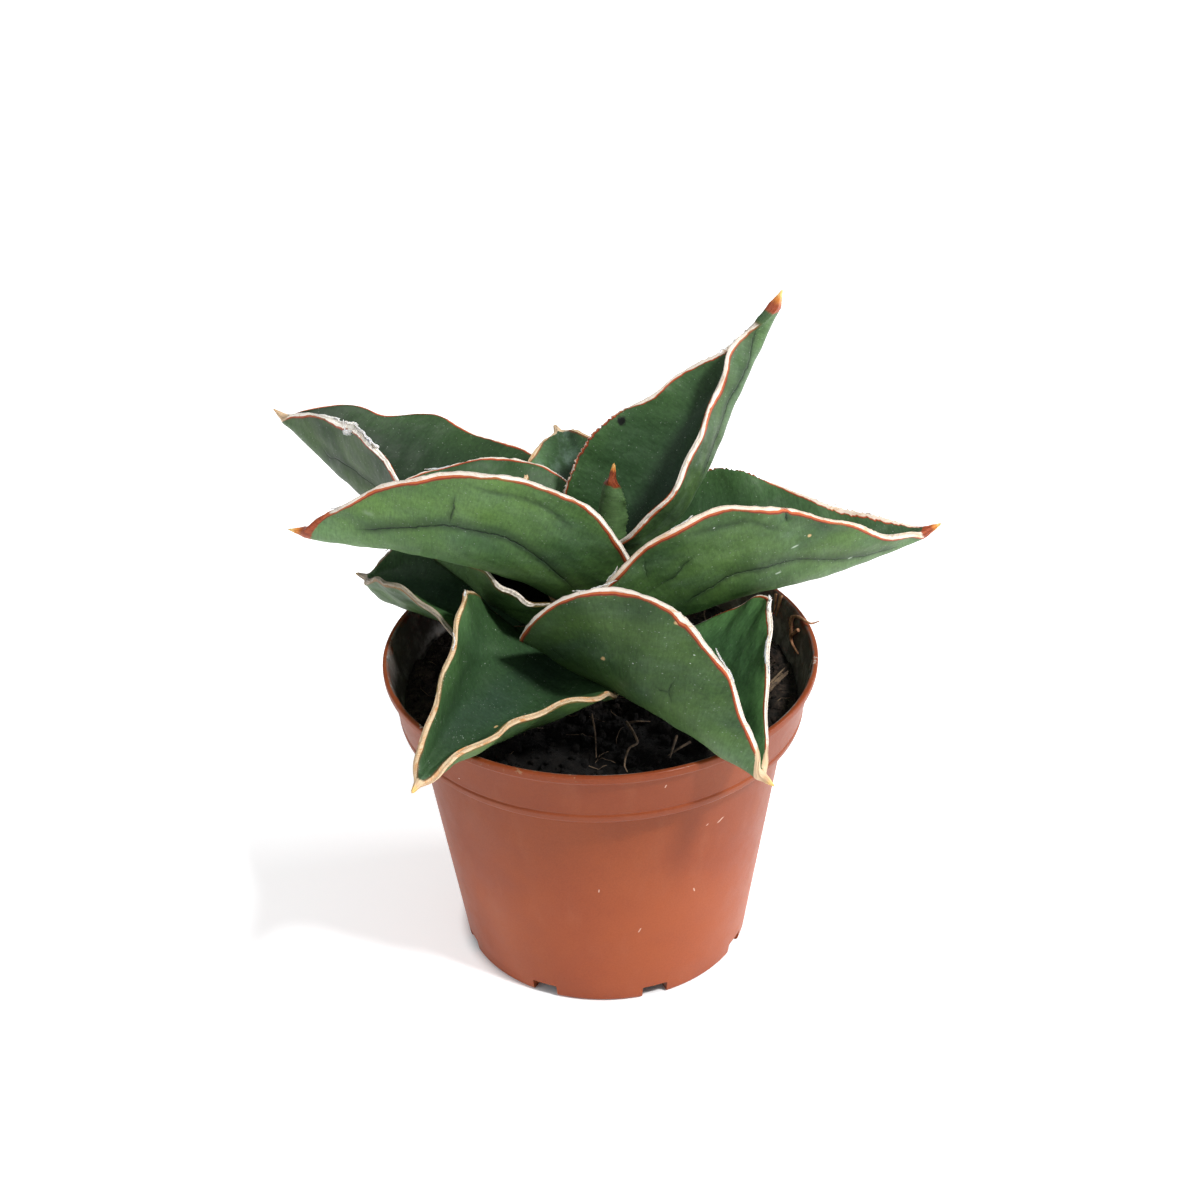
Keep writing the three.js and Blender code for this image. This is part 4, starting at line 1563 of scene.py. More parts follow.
@dataclass(frozen=True)
class PeatFinish:
    """Moist dark peat, with painted shade at the front under the leaves and painted light further out."""

    dark: Colour = srgb(10, 9, 8)
    brown: Colour = srgb(46, 37, 31)
    fibre: Colour = srgb(92, 74, 58)
    # The middle of the painted shade on the peat, in metres.
    painted_shade_centre: Place = (0.0, -0.028, 0.0)

    def material(self) -> bpy.types.Material:
        """Builds the finish of the peat and its crumbs.

        Returns:
            The new material.
        """
        made = Finish("peat_moist")
        place = made.object_place()
        lumps, fine = made.noise(place, 420.0, 4.0, 0.65), made.noise(place, 2400.0, 3.0, 0.7)
        colour = made.blend(made.step(lumps, 0.35, 0.75), self.dark, self.brown)
        colour = made.shaded(colour, made.step(fine, 0.3, 0.75, (0.55, 1.35)))
        shreds = made.noise(place, (3000.0, 500.0, 900.0), 2.0)
        colour = made.blend(made.step(shreds, 0.7, 0.78, (0.0, 0.4)), colour, self.fibre)
        # Painted light and shade: the peat is much darker round a point at the front and lighter towards the
        # wall.
        away = made.distance(made.scaled(place, (1.0, 1.0, 0.0)), self.painted_shade_centre)
        inputs = {
            "Base Color": made.shaded(colour, made.step(away, 0.014, 0.038, (0.26, 2.3))),
            "Roughness": made.step(fine, 0.2, 0.8, (0.75, 1.0)),
            "Specular IOR Level": 0.25,
            "Normal": made.bump(fine, 0.0005, 0.9, made.bump(lumps, 0.0012, 0.8)),
        }
        return made.dressed(inputs)


@dataclass(frozen=True)
class RootFinish:
    """The thin dry skin of fine roots and fibres."""

    light: Colour = srgb(120, 100, 78)
    dark: Colour = srgb(66, 52, 40)

    def material(self, name: str) -> bpy.types.Material:
        """Builds the finish of one piece's roots.

        Args:
            name: The piece's name.

        Returns:
            The new material.
        """
        made = Finish(f"skin_of_{name}")
        place = made.object_place()
        bands = made.noise(place, 700.0, 3.0, 0.65)
        inputs = {
            "Base Color": made.blend(made.step(bands, 0.3, 0.7), self.dark, self.light),
            "Roughness": made.step(bands, 0.3, 0.7, (0.7, 0.9)),
            "Normal": made.bump(made.noise(place, 3000.0, 2.0), 0.0002, 0.7),
        }
        return made.dressed(inputs)


@dataclass
class PeatBed:
    """The peat in the pot: an uneven surface with crumbs, fibres and fine roots on it."""

    level: float = 55.2
    relief: float = 1.0
    clearance: float = 0.15
    rings: int = 92
    sectors: int = 220
    crumb_count: int = 1500
    crumb_size: float = 0.28
    crumb_growth: float = 0.95
    fibre_count: int = 46
    fibre_reach: float = 37.0
    strand_sides: int = 6
    pot: Pot = field(default_factory=Pot)
    finish: PeatFinish = PeatFinish()
    root_finish: RootFinish = RootFinish()
    dry_finish: RootFinish = RootFinish(srgb(206, 152, 116), srgb(140, 92, 62))

    def surface(self, x: float, y: float) -> float:
        """The peat's surface: the solid model's broad lumps with small clods on them.

        Args:
            x: Millimetres to the right.
            y: Millimetres to the back.

        Returns:
            The height in millimetres.
        """
        lumps = math.sin(0.31 * x + 0.7) * math.sin(0.27 * y - 0.4) + 0.5 * math.sin(0.6 * x + 0.5 * y)
        clods = noise.fractal(Vector((x * 0.35, y * 0.35, 2.0)), 0.8, 2.2, 4)
        grains = noise.noise(Vector((x * 1.7, y * 1.7, 5.0)))
        return self.level + self.relief * 0.6 * lumps + 0.75 * clods + 0.3 * grains - 0.2

    def top_radius(self) -> float:
        """The radius of the peat's surface."""
        return self.pot.wall_inside(self.level - self.relief) - self.clearance

    def build_bed(self, material: bpy.types.Material) -> None:
        """Makes the peat's body.

        Args:
            material: The peat's finish.
        """
        pot, sectors = self.pot, self.sectors
        inset = pot.wall + self.clearance
        floor = pot.floor_thickness + self.clearance
        points = [(0, 0, floor)]
        points += ring(pot.base_radius - inset, floor, sectors)
        points += ring(pot.body_top_radius - inset, pot.body_top + pot.inside_step_rise, sectors)
        points += ring(pot.collar_radius - inset, pot.collar_foot + inset, sectors)
        for number in range(self.rings, 0, -1):
            flat = ring(self.top_radius() * number / self.rings, 0.0, sectors)
            points += [(x, y, self.surface(x, y)) for x, y, _ in flat]
        points.append((0, 0, self.surface(0, 0)))
        make_piece("peat_bed", points, lathe_faces(3 + self.rings, sectors), material, "soil")

    def build_crumbs(self, material: bpy.types.Material) -> None:
        """Scatters crumbs of peat over the surface, more of them small than large.

        Args:
            material: The peat's finish.
        """
        chance = random.Random(7)
        mesh = bmesh.new()
        for _ in range(self.crumb_count):
            radius = (self.top_radius() - 0.8) * math.sqrt(chance.random())
            turn = chance.uniform(0, 2 * math.pi)
            x, y = radius * math.cos(turn), radius * math.sin(turn)
            size = self.crumb_size + self.crumb_growth * chance.random() ** 3
            stretch = Vector([chance.uniform(0.6, 1.5) for _ in range(3)]) * size * MM
            place = Vector((x, y, self.surface(x, y) + 0.25 * size)) * MM
            angle = chance.uniform(0, 6.28)
            spin = Matrix.Rotation(angle, 4, Vector((chance.random(), 0.4, chance.random())))
            shape = Matrix.Translation(place) @ spin @ Matrix.Diagonal((*stretch, 1))
            made = bmesh.ops.create_icosphere(mesh, subdivisions=1, radius=1, matrix=shape)
            for vertex in made["verts"]:
                push = noise.noise(vertex.co * 1400) * 0.45 * size * MM
                vertex.co += (vertex.co - place).normalized() * push
        data = bpy.data.meshes.new("peat_crumbs")
        mesh.to_mesh(data)
        mesh.free()
        dress("peat_crumbs", data, material, None)

    def strand(self, path: list[Vector], thick: float) -> tuple[list[Vector], Faces]:
        """A thin tapering tube along a path.

        Args:
            path: Points in millimetres.
            thick: The radius at its thickest.

        Returns:
            Points and faces.
        """
        sides, last = self.strand_sides, len(path) - 1
        points = []
        for i, place in enumerate(path):
            onward = path[min(i + 1, last)] - path[max(i - 1, 0)]
            across = onward.orthogonal().normalized()
            other = onward.cross(across).normalized()
            radius = thick * (0.35 + 0.65 * math.sin(math.pi * min(0.5 + i / last / 2, 1.0)))
            points += [place + across * x + other * y for x, y, _ in ring(radius, 0.0, sides)]
        ends = [tuple(range(sides))[::-1], tuple(last * sides + s for s in range(sides))]
        return points, tube_faces(len(path), sides) + ends

    def wander(
        self, chance: random.Random, x: float, y: float, length: float, turn: float, lift: float
    ) -> list[Vector]:
        """A path that strays over the peat.

        Args:
            chance: The seeded source of randomness.
            x: Where it begins, to the right.
            y: Where it begins, to the back.
            length: How long it is.
            turn: The direction it sets off in.
            lift: How high its middle arches over the peat.

        Returns:
            Points along the path.
        """
        count = max(5, int(length / 0.8))
        path = []
        for i in range(count):
            bow = math.sin(math.pi * (i / (count - 1)))
            arch = lift * bow - 0.15 * (1 - bow)
            path.append(Vector((x, y, self.surface(x, y) + 0.25 + arch)))
            turn += chance.uniform(-0.42, 0.42)
            x += math.cos(turn) * length / count
            y += math.sin(turn) * length / count
            beyond = math.hypot(x, y) / (self.top_radius() - 0.6)
            if beyond > 1:
                x, y, turn = x / beyond, y / beyond, turn + 1.2
        return path

    def traced(self, places: tuple[Place, ...]) -> list[Vector]:
        """A smooth path through given places.

        Args:
            places: The places, in millimetres.

        Returns:
            Points along the path.
        """
        given = np.array(places)
        steps = np.linspace(0, len(given) - 1, 6 * len(given))
        path = np.stack([np.interp(steps, np.arange(len(given)), given[:, k]) for k in range(3)], axis=1)
        for _ in range(5):
            path[1:-1] = (path[:-2] + 2 * path[1:-1] + path[2:]) / 4
        return [Vector(point) for point in path]

    def build_strands(self, name: str, strands: list[tuple[list[Vector], float]], finish: RootFinish) -> None:
        """Joins many thin tubes in one piece.

        Args:
            name: The piece's name.
            strands: Paths with their radii.
            finish: What they are like.
        """
        points: list[Vector] = []
        faces: Faces = []
        for path, thick in strands:
            places, loops = self.strand(path, thick)
            faces += [tuple(v + len(points) for v in loop) for loop in loops]
            points += places
        make_piece(name, points, faces, finish.material(name), None)

    def build(self) -> None:
        """Makes the peat, its crumbs, its fibres and its roots."""
        material = self.finish.material()
        self.build_bed(material)
        self.build_crumbs(material)
        chance = random.Random(11)
        fibres = []
        for _ in range(self.fibre_count):
            radius, turn = self.fibre_reach * math.sqrt(chance.random()), chance.uniform(0, 2 * math.pi)
            x, y = radius * math.cos(turn), radius * math.sin(turn)
            path = self.wander(chance, x, y, chance.uniform(3, 9), chance.uniform(0, 6.28), 0.3)
            fibres.append((path, chance.uniform(0.06, 0.12)))
        self.build_strands("peat_fibres", fibres, self.root_finish)
        roots = []
        for x, y, length, turn, lift in SURFACE_ROOTS:
            path = self.wander(chance, x, y, length, math.radians(turn), lift)
            roots.append((path, chance.uniform(0.16, 0.26)))
        roots += [(self.traced(places), thick) for thick, places in PEAT_ROOTS]
        self.build_strands("surface_roots", roots, self.root_finish)
        dry = [(self.traced(places), thick) for thick, places in DRY_ROOTS]
        self.build_strands("dry_roots", dry, self.dry_finish)


# Fine roots that wander over the peat: start (x, y), length, heading and how high they arch.
SURFACE_ROOTS = (
    (-30.0, -6.0, 14.0, 120, 1.2),
    (-27.0, -18.0, 16.0, 210, 1.0),
    (-20.0, 26.0, 18.0, 20, 1.4),
    (12.0, 30.0, 18.0, 170, 1.4),
    (22.0, 22.0, 15.0, 100, 1.2),
    (30.0, -12.0, 9.0, 70, 0.6),
)

# Roots in the front of the pot: the radius at the thickest, then places along the root.
PEAT_ROOTS = (
    (0.2, ((-1.9, -11.9, 57.5), (-1.3, -18.1, 57.2), (-1.2, -25.8, 57.0))),
    (
        0.28,
        (
            (4.7, -14.4, 57.2), (5.9, -18.9, 58.0), (6.9, -23.7, 58.5), (5.0, -25.0, 58.5),
            (4.3, -27.5, 58.0), (4.0, -29.6, 57.5), (4.6, -30.6, 56.8),
        ),
    ),
    (0.24, ((5.2, -14.4, 57.0), (6.8, -15.2, 57.8), (9.3, -14.2, 57.0))),
    (0.28, ((14.2, -19.6, 57.2), (13.3, -24.8, 58.0), (12.7, -27.1, 57.4))),
    (0.3, ((16.6, -21.8, 57.2), (14.4, -25.0, 58.0), (12.3, -25.9, 57.0))),
    (0.4, ((32.6, -3.0, 56.4), (35.0, -0.1, 57.0), (36.9, 2.3, 57.0))),
    (0.36, ((32.8, -3.6, 56.4), (35.0, -0.9, 57.0), (36.8, 1.6, 57.0))),
    (0.3, ((32.5, -2.2, 56.4), (34.6, 0.7, 57.0), (36.3, 3.2, 57.2))),
)

# Dry roots and shreds at the right of the pot, on its wall and over its rim, in the same form.
DRY_ROOTS = (
    (
        0.48,
        (
            (38.5, 13.0, 63.0), (38.1, 13.0, 61.7), (38.2, 11.8, 60.6), (38.0, 11.1, 59.3), (38.3, 9.0, 58.8),
            (39.1, 5.2, 59.2),
        ),
    ),
    (0.42, ((39.4, 8.9, 62.4), (38.6, 10.4, 60.9), (38.0, 11.1, 59.3), (38.0, 11.3, 58.4))),
    (
        0.34,
        (
            (38.1, 13.2, 61.9), (38.5, 12.6, 63.4), (39.4, 10.6, 64.5), (40.4, 8.6, 64.9), (41.6, 7.1, 64.9),
            (42.4, 7.0, 65.2), (43.2, 6.7, 65.7),
        ),
    ),
    (0.3, ((35.6, 20.2, 64.0), (35.5, 19.4, 62.3), (35.1, 19.0, 60.2))),
    (0.4, ((36.6, 19.3, 64.2), (36.1, 18.2, 62.3), (35.5, 18.0, 60.0))),
)


@dataclass(frozen=True)
class StemFinish:
    """The pale fleshy stem with its dry leaf scars."""

    green: Colour = srgb(128, 140, 92)
    scar: Colour = srgb(120, 90, 62)

    def material(self) -> bpy.types.Material:
        """Builds the finish of the stem.

        Returns:
            The new material.
        """
        made = Finish("stem_skin")
        rings = made.noise(made.object_place(), (90.0, 90.0, 900.0))
        inputs = {
            "Base Color": made.blend(made.step(rings, 0.42, 0.6), self.green, self.scar),
            "Roughness": made.step(rings, 0.3, 0.7, (0.55, 0.8)),
            "Normal": made.bump(rings, 0.0004, 0.6),
        }
        return made.dressed(inputs)


@dataclass
class Stem:
    """The short stem that the leaves clasp."""

    centre: tuple[float, float] = (0.0, 2.0)
    radius: float = 5.2
    top_share: float = 0.75
    bottom: float = 44.1
    top: float = 74.0
    scars: int = 9
    scar_depth: float = 0.12
    sectors: int = 48
    rings: int = 40
    finish: StemFinish = StemFinish()

    def build(self) -> None:
        """Turns the stem with a shallow ring for each leaf scar."""
        points = [(*self.centre, self.bottom)]
        for number in range(self.rings + 1):
            share = number / self.rings
            scar = self.scar_depth * (abs(math.sin(share * math.pi * self.scars)) - 1)
            radius = self.radius * mix(1.0, self.top_share, share) + scar
            points += ring(radius, mix(self.bottom, self.top, share), self.sectors, self.centre)
        points.append((*self.centre, self.top))
        faces = lathe_faces(self.rings + 1, self.sectors)
        make_piece("stem_post", points, faces, self.finish.material(), "stem")


TAN = srgb(190, 158, 112)
DARK_SCAR = srgb(10, 16, 10)
BROWN_SCAR = srgb(96, 62, 36)
PALE_SCAR = srgb(150, 166, 146)

LEAVES = (
    Leaf(
        name="front_right", seat=(5, -7.7, 65.3), root=58, length=47, heading=(288, 321), rise=(6, 1, -23),
        roll=(-2, -25, -24), fold=(34, 79, 84), half_width=31, base=(0.45, 0.77), belly=0.37, taper=1.35,
        swells=((0, 0.75, -0.6, 0.07), (1, 0.4, -0.6, 0.07), (1, 0.7, 0.6, 0.05), (1, 0.8, -0.5, 0.04)),
        seed=1, margin=MarginTone.WHITE, painted_shading=(0.58, 2.4), bloom=0.1, spine_foot=3.2, spine_slant=2.4,
        spine_straw=0.85,
        creases=(
            Crease(((23.5, -12.6), (25.9, -12.0), (28.0, -12.6)), 0.5, 0.24, depth=0.12, reach=0.9),
            Crease(((27.4, -9.8), (26.4, -12.5), (26.6, -15.0)), 0.6, 0.2, CreaseRun.ACROSS, 0.14, 0.9),
            Crease(((3.4, -13.0), (3.0, -17.0), (4.4, -21.0)), 0.35, 0.24, CreaseRun.ACROSS, 0.1),
        ),
        marks=(Mark(13.6, -16.0, 0.5, TAN), Mark(24.9, -25.6, 0.6, TAN)),
        tears=(Tear(1, 24.9, 0.8, 0.35), Tear(0, 26.5, 5.0, 0.3)),
        flakes=(
            Flake(1, 34.2, -3.8, 0.55, 0.9, 0.15), Flake(1, 13.4, 2.6, 0.35, 1.3, 0.3),
            Flake(1, 12.6, -2.2, 0.3, 0.5, 0.8), Flake(0, 32.5, -7.0, 0.7, -0.8, 0.5, 0.4, True),
            Flake(0, 18.0, 4.5, 0.7, 0.3, 0.5, 0.2), Flake(0, 20.5, -3.0, 0.5, 0.5, 0.6),
        ),
    ),
    Leaf(
        name="right_front", seat=(4.5, 0.5, 70.2), root=60, length=65, heading=(353, 380), rise=(30, 10, 18),
        roll=(5, -19, -3), fold=(61, 62, 40), open=(36, 0), half_width=30, base=(0.5, 0.68), belly=0.35,
        taper=1.12, swells=((0, 0.7, -0.7, 0.1), (1, 0.7, 0.8, 0.05), (1, 0.8, -1, 0.04)), seed=2,
        margin=MarginTone.CREAM, painted_shading=(0.74, 1.3), bloom=0.14, spine_foot=2.8, spine_slant=1.8,
        spine_tone=0.9, spine_bright=0.75,
        creases=(
            Crease(
                (
                    (13.0, -10.0), (15.9, -11.6), (20.6, -12.9), (23.5, -13.8), (28.9, -12.8), (34.7, -11.8),
                    (41.9, -7.9), (47.7, -5.5), (52.4, -3.8), (57.0, -2.6),
                ),
                0.9, 0.26, depth=0.5, reach=2.8,
            ),
            Crease(
                ((10.8, -17.2), (13.4, -18.2), (15.2, -18.8), (17.3, -20.8), (20.0, -21.4)), 0.75, 0.24,
                reach=1.3,
            ),
            Crease(((11.2, -20.0), (11.6, -23.6), (12.3, -26.0)), 0.55, 0.24, CreaseRun.ACROSS, 0.15),
            Crease(((34.4, -20.8), (34.3, -24.0)), 0.9, 0.2, CreaseRun.ACROSS, 0.3, 0.8),
            Crease(
                ((17.0, -27.8), (23.8, -25.7), (28.5, -24.6), (31.4, -21.7), (36.0, -18.4)), 0.4, 1.1,
                depth=0.15,
            ),
        ),
        marks=(
            Mark(37.9, -16.5, 0.4, TAN), Mark(35.0, -15.3, 0.22, PALE_SCAR, stretch=4.0),
            Mark(31.4, -10.5, 0.2, PALE_SCAR, stretch=3.0), Mark(45.1, -6.5, 0.22, PALE_SCAR, stretch=3.0),
            Mark(49.0, 6.0, 1.1, BROWN_SCAR, True),
        ),
        tears=(
            Tear(0, 26.0, 9.0, -0.4), Tear(0, 53.0, 11.0, 0.75), Tear(1, 34.3, 0.7, -0.3),
            Tear(1, 55.0, 7.0, 0.2),
        ),
        flakes=(
            Flake(1, 6.0, 2.2, 0.9, 0.4, 0.5), Flake(1, 17.0, 3.4, 0.5, 0.35, 0.1),
            Flake(0, 44.0, 5.0, 0.8, 0.8, 0.3), Flake(0, 52.0, 3.0, 0.5, 0.6, 0.4),
        ),
        frayed=1.4,
    ),
    Leaf(
        name="left_front", seat=(-4, 4, 74), root=62, length=58.5, heading=(189, 168), rise=(39, 13, 5),
        roll=(7, 27, 23), fold=(62, 60, 58), half_width=28.5, base=(0.7, 0.6), belly=0.24, taper=1.7,
        swells=((0, 0.22, 0.6, 0.06), (0, 0.7, 0.5, 0.06), (1, 0.23, -0.4, 0.05), (1, 0.35, 0.6, 0.06)),
        seed=3, margin=MarginTone.WHITE, painted_shading=(0.96, 1.0), bloom=0.14, bare_tip=9.0, spine_foot=4.8,
        spine_slant=2.4, spine_half_width=1.9,
        creases=(
            Crease(
                (
                    (4.0, 9.0), (6.5, 10.3), (10.1, 12.1), (13.0, 13.4), (18.5, 14.8), (23.4, 14.2),
                    (26.0, 13.7), (28.9, 13.0), (35.4, 10.3), (40.3, 8.1), (46.5, 5.4),
                ),
                1.0, 0.3, depth=0.62, reach=3.2,
            ),
            Crease(((28.9, 12.0), (28.9, 16.9), (29.3, 21.0)), 0.9, 0.22, CreaseRun.ACROSS, 0.25, 1.3),
            Crease(
                ((10.0, 22.6), (12.0, 23.1), (16.2, 24.7), (19.8, 24.2), (28.0, 23.2)), 0.45, 1.0, depth=0.2,
            ),
        ),
        marks=(Mark(42.9, 10.7, 0.9, PALE_SCAR, strength=0.4, core=0.2, stretch=1.8),),
        flakes=(Flake(0, 48.0, 2.2, 0.4, 0.6, 0.1), Flake(1, 30.0, 5.0, 0.6, 0.5, 0.3)),
    ),
    Leaf(
        name="left_under", seat=(-3, 5, 64), root=57, length=37, heading=(168, 172), rise=(30, 31, 33),
        roll=(25, -1, 20), fold=(60, 48, 69), half_width=19, base=(0.75, 0.4), belly=0.35, taper=1.7,
        swells=((0, 0.31, 0.8, 0.05), (0, 0.5, 0.6, 0.12)), seed=4, margin=MarginTone.WHITE,
        line_strength=0.2, painted_shading=(0.65, 0.7), bloom=0.1, spine_foot=3.6, tears=(Tear(0, 15.4, 12.0, -0.12),),
    ),
    Leaf(
        name="front_left", seat=(-7.7, -4.5, 62.8), root=58, length=52, heading=(230, 248), rise=(9, 4.5, -4),
        roll=(-7, -23, -16), fold=(17, 65, 58), half_width=23.5, base=(0.56, 0.6), belly=0.34, taper=1.05,
        swells=(
            (0, 0.36, 0.6, 0.08), (0, 0.7, 1.1, 0.04), (0, 0.79, -0.8, 0.04), (1, 0.35, -0.6, 0.08),
            (1, 0.87, 1, 0.04),
        ),
        seed=5, margin=MarginTone.STRAW, line_strength=0.3, painted_shading=(0.8, 1.3), bloom=0.1, powder=0.9,
        spine_foot=2.2, spine_slant=0.6, spine_straw=0.9,
        marks=(Mark(27.0, 4.4, 0.45, TAN, True, stretch=1.5),),
        flakes=(Flake(1, 29.0, -2.4, 0.5, 0.6, -0.2), Flake(1, 17.5, -2.5, 0.5, 0.3, 0.3)),
    ),
    Leaf(
        name="heart", seat=(-0.8, 0.8, 82), root=66, length=21.8, heading=(220, 222), rise=(113, 104, 100),
        roll=(0, 8, 8), fold=(64, 66, 60), half_width=4.6, base=(0.95, 0.95), belly=0.3, taper=2.2, seed=6,
        margin=MarginTone.CREAM, line_strength=0.0, painted_shading=(0.62, 0.7), bloom=0.0, spine_foot=3.8,
        spine_slant=0.4, spine_half_width=1.0, spine_tone=0.75, spine_bright=0.5,
        tears=(Tear(0, 10.0, 22.0, -0.9), Tear(1, 10.0, 22.0, -0.9)), frayed=0.3,
    ),
    Leaf(
        name="upright", seat=(1, 8, 73), root=63, length=68, heading=(27, 28), rise=(50, 53, 63),
        roll=(-24, 3, -64), fold=(67, 60, 77), half_width=20.3, base=(0.77, 0.6), belly=0.35, taper=1,
        swells=((0, 0.55, -0.8, 0.06), (0, 0.78, -1.3, 0.06), (1, 0.66, -2.2, 0.06), (1, 0.79, 1.6, 0.04)),
        seed=7, margin=MarginTone.WHITE, painted_shading=(0.62, 1.3), bloom=0.22, bare_tip=8.0, bare_line=0.0,
        spine_foot=3.4, spine_slant=1.0,
        creases=(
            Crease(
                (
                    (28.0, -8.4), (33.0, -8.2), (38.5, -7.2), (44.6, -4.6), (49.1, -3.6), (54.0, -3.0),
                    (62.0, -2.4),
                ),
                0.85, 0.34, depth=0.5, reach=2.4,
            ),
        ),
        marks=(Mark(30.2, 16.7, 1.2, DARK_SCAR, True),),
        tears=(Tear(0, 22.0, 12.0, -0.4), Tear(0, 54.0, 6.0, 0.3)),
        flakes=(Flake(0, 57.0, -6.0, 0.6, 0.5, 0.4),),
    ),
    Leaf(
        name="left_back", seat=(-6, 16.8, 63), root=59, length=77, heading=(143.5, 152.5),
        rise=(2, 23.5, 30.5), roll=(-23, 18, 28), fold=(70, 46, 55), half_width=29, base=(0.37, 0.78),
        belly=0.52, taper=2.1,
        swells=(
            (0, 0.7, 1, 0.05), (0, 0.79, -1.2, 0.04), (1, 0.43, 0.6, 0.05), (1, 0.56, -0.5, 0.05),
            (1, 0.7, 1.2, 0.05), (1, 0.79, -2, 0.04), (1, 0.9, 1.8, 0.06),
        ),
        # Painted light and shade: a brighter margin, darker faces and deep painted shade in the channel.
        seed=8, margin=MarginTone.PAINTED_BRIGHT, painted_shading=(0.48, 0.78), bloom=0.0, painted_channel_shade=0.3,
        channel_reach=24.0, spine_foot=2.2, spine_slant=1.6, spine_straw=0.85, spine_bright=0.35,
        creases=(
            Crease(
                (
                    (43.0, 16.8), (46.6, 16.7), (50.0, 15.5), (52.6, 14.3), (55.6, 12.5), (58.6, 10.0),
                    (61.6, 7.9), (64.0, 7.0),
                ),
                0.85, 0.3, depth=0.55, reach=2.6, under=1.2,
            ),
        ),
        marks=(
            Mark(59.2, 20.9, 1.5, srgb(212, 180, 126)), Mark(57.6, 22.2, 0.9, DARK_SCAR, stretch=1.3),
            Mark(62.2, 18.0, 0.8, TAN, stretch=2.0),
        ),
        tears=(Tear(0, 58.5, 5.0, 0.45), Tear(0, 50.5, 4.0, 0.2)),
        flakes=(
            Flake(0, 67.5, -6.0, 0.6, 0.5, 0.3, 0.0), Flake(0, 63.0, -7.0, 1.0, 0.4, 0.3, 0.0),
            Flake(0, 60.5, -5.6, 1.9, -1.5, -1.2, 0.2, True),
            Flake(0, 59.6, -4.0, 1.2, -1.0, -1.5, 0.3, True), Flake(0, 57.0, -8.8, 1.7, 0.35, 0.4, 0.0),
            Flake(0, 56.0, -6.0, 1.2, 0.7, -0.2, 0.1),
        ),
        frayed=1.5,
    ),
    Leaf(
        name="left_low", seat=(-9.8, 5.6, 62), root=58, length=45.5, heading=(151, 150), rise=(25, 0.5, 7),
        roll=(-20, 0, -24), fold=(26, 48, 66), half_width=24, base=(0.47, 0.5), belly=0.39, taper=2,
        swells=((0, 0.42, -1.3, 0.08), (0, 0.79, 0.8, 0.05)), seed=9, margin=MarginTone.GREY,
        line_strength=0.35, painted_shading=(0.7, 1.5), bloom=0.3, spine_foot=2.4, spine_slant=0.8, spine_straw=0.95,
        spine_bright=0.4, flakes=(Flake(1, 37.0, 3.4, 0.7, 0.9, 0.5), Flake(1, 40.5, -4.0, 0.5, 1.2, 0.8)),
        frayed=1.5,
    ),
    Leaf(
        name="back", seat=(0, 7, 71), root=60, length=44, heading=(99, 105), rise=(37, 29, 4),
        roll=(0, -3, -16), fold=(35, 41, 53), half_width=15, base=(0.75, 0.75), belly=0.38, taper=1.7,
        swells=((1, 0.79, -0.8, 0.05),), seed=10, margin=MarginTone.STRAW, line_strength=0.5,
        painted_shading=(0.9, 1.35), bloom=0.9, inner_film=0.8, spine_foot=3.0, spine_straw=0.9, spine_bright=0.4,
    ),
)


@dataclass(frozen=True)
class Lamp:
    """One soft light: its name, place and width in metres, strength in watts and tint."""

    name: str
    place: Place
    size: float
    power: float
    tint: Place = (1.0, 1.0, 1.0)

    def build(self, target: Place) -> None:
        """Adds the light, facing the target.

        Args:
            target: The point that the light faces.
        """
        data = bpy.data.lights.new(self.name, "AREA")
        data.shape, data.size, data.energy, data.color = "DISK", self.size, self.power, self.tint
        light = link(self.name, data)
        light.location = self.place
        towards = Vector(target) - Vector(self.place)
        light.rotation_euler = towards.to_track_quat("-Z", "Y").to_euler()


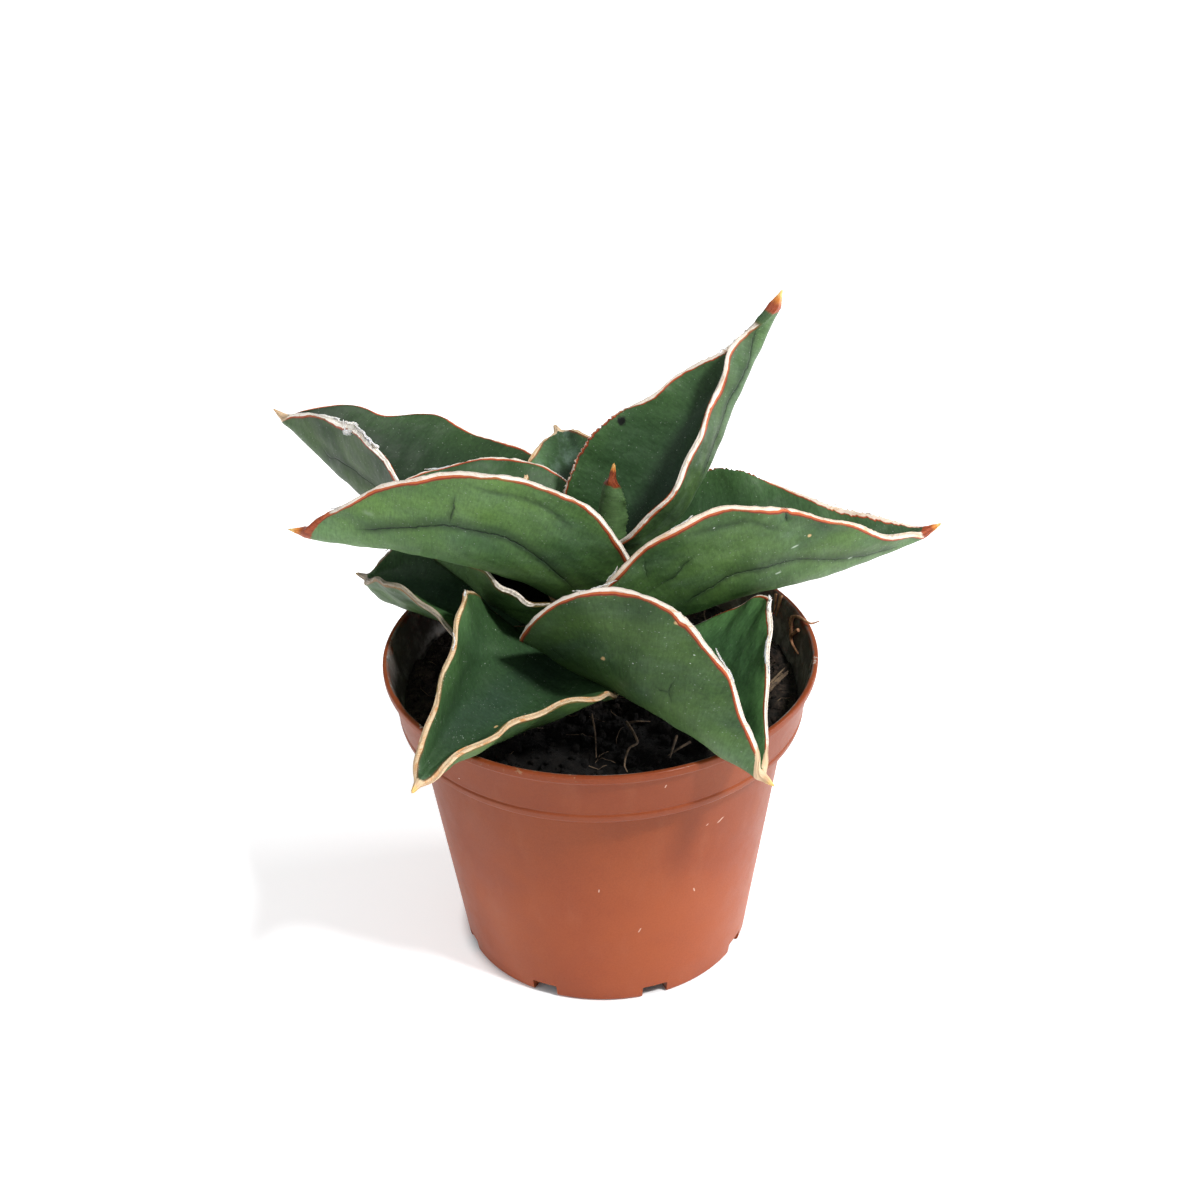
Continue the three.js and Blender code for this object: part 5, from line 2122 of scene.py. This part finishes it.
@dataclass
class Studio:
    """A pale floor, soft lights and the camera, which stands where the photograph was taken."""

    camera_elevation: float = 31.6
    camera_distance: float = 560.0
    camera_target: Place = (0.0, 0.0, 40.0)
    camera_right: float = 0.2
    camera_up: float = 30.6
    camera_roll: float = -1.34
    lens: float = 84.18
    sensor: float = 36.0
    floor_size: float = 6.0
    # The floor glows as painted light beyond floor_glow_to from the centre and not within floor_glow_from,
    # which paints a contact shadow under the pot.
    floor_glow: float = 0.52
    floor_glow_from: float = 0.027
    floor_glow_to: float = 0.031
    floor_colour: Colour = srgb(246, 247, 249)
    sky_glow: float = 0.41
    light_target: Place = (0.0, 0.0, 0.07)
    lamps: tuple[Lamp, ...] = (
        Lamp("key_light", (0.5, -0.46, 0.93), 0.14, 12.0, (1.0, 0.99, 0.97)),
        Lamp("side_light", (0.88, 0.12, 0.36), 0.3, 5.0),
        Lamp("fill_light", (-0.7, -0.6, 0.6), 0.7, 1.4, (0.94, 0.97, 1.0)),
    )

    def build_camera(self) -> None:
        """Places the camera."""
        rise, roll = math.radians(self.camera_elevation), math.radians(self.camera_roll)
        right = Vector((1, 0, 0))
        back = Vector((0, -math.cos(rise), math.sin(rise)))
        up = Vector((0, math.sin(rise), math.cos(rise)))
        place = Vector(self.camera_target) + back * self.camera_distance
        place += right * self.camera_right + up * self.camera_up
        leaned_right = right * math.cos(roll) + up * math.sin(roll)
        leaned_up = up * math.cos(roll) - right * math.sin(roll)
        data = bpy.data.cameras.new("camera")
        data.lens, data.sensor_width, data.sensor_fit = self.lens, self.sensor, "AUTO"
        data.clip_start, data.clip_end = 0.01, 20
        camera = link("camera", data)
        turned = Matrix((leaned_right, leaned_up, back)).transposed().to_4x4()
        camera.matrix_world = Matrix.Translation(place * MM) @ turned
        bpy.context.scene.camera = camera

    def build_floor(self) -> None:
        """Lays the pale floor, which glows as painted light except beneath the pot, where the missing glow
        paints a contact shadow.
        """
        made = Finish("floor_paper")
        place = made.object_place()
        shade = made.step(made.noise(place, 40.0, 2.0), 0.3, 0.7, (0.995, 1.0))
        away = made.distance(made.scaled(place, (1.0, 1.0, 0.0)))
        # Painted light and shadow: the floor glows beyond 31 mm from the centre and not under the pot.
        glow = made.step(away, self.floor_glow_from, self.floor_glow_to, (0.0, self.floor_glow))
        inputs = {
            "Base Color": made.shaded(self.floor_colour, shade),
            "Roughness": 0.9,
            "Specular IOR Level": 0.1,
            "Emission Color": (1.0, 1.0, 1.0, 1.0),
            "Emission Strength": glow,
        }
        half = self.floor_size / 2
        data = bpy.data.meshes.new("floor")
        corners = [(-half, -half, 0), (half, -half, 0), (half, half, 0), (-half, half, 0)]
        data.from_pydata(corners, [], [(0, 1, 2, 3)])
        data.materials.append(made.dressed(inputs))
        floor = link("floor", data)

    def build(self) -> None:
        """Sets up the floor, the lights, the surroundings and the camera."""
        self.build_camera()
        self.build_floor()
        for lamp in self.lamps:
            lamp.build(self.light_target)
        world = bpy.data.worlds.new("surroundings")
        world.use_nodes = True
        shader = world.node_tree.nodes["Background"]
        shader.inputs["Color"].default_value = (1.0, 1.0, 1.0, 1.0)
        shader.inputs["Strength"].default_value = self.sky_glow
        bpy.context.scene.world = world
        bpy.context.scene.view_settings.view_transform = "Standard"


def main() -> None:
    """Builds the plant, its pot and the studio."""
    logging.basicConfig(level=logging.INFO, format="%(name)s: %(message)s")
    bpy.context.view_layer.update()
    Studio().build()
    pot = Pot()
    pot.build()
    PeatBed(pot=pot).build()
    Stem().build()
    for leaf in LEAVES:
        leaf.build()
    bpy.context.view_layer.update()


if __name__ == "__main__":
    main()
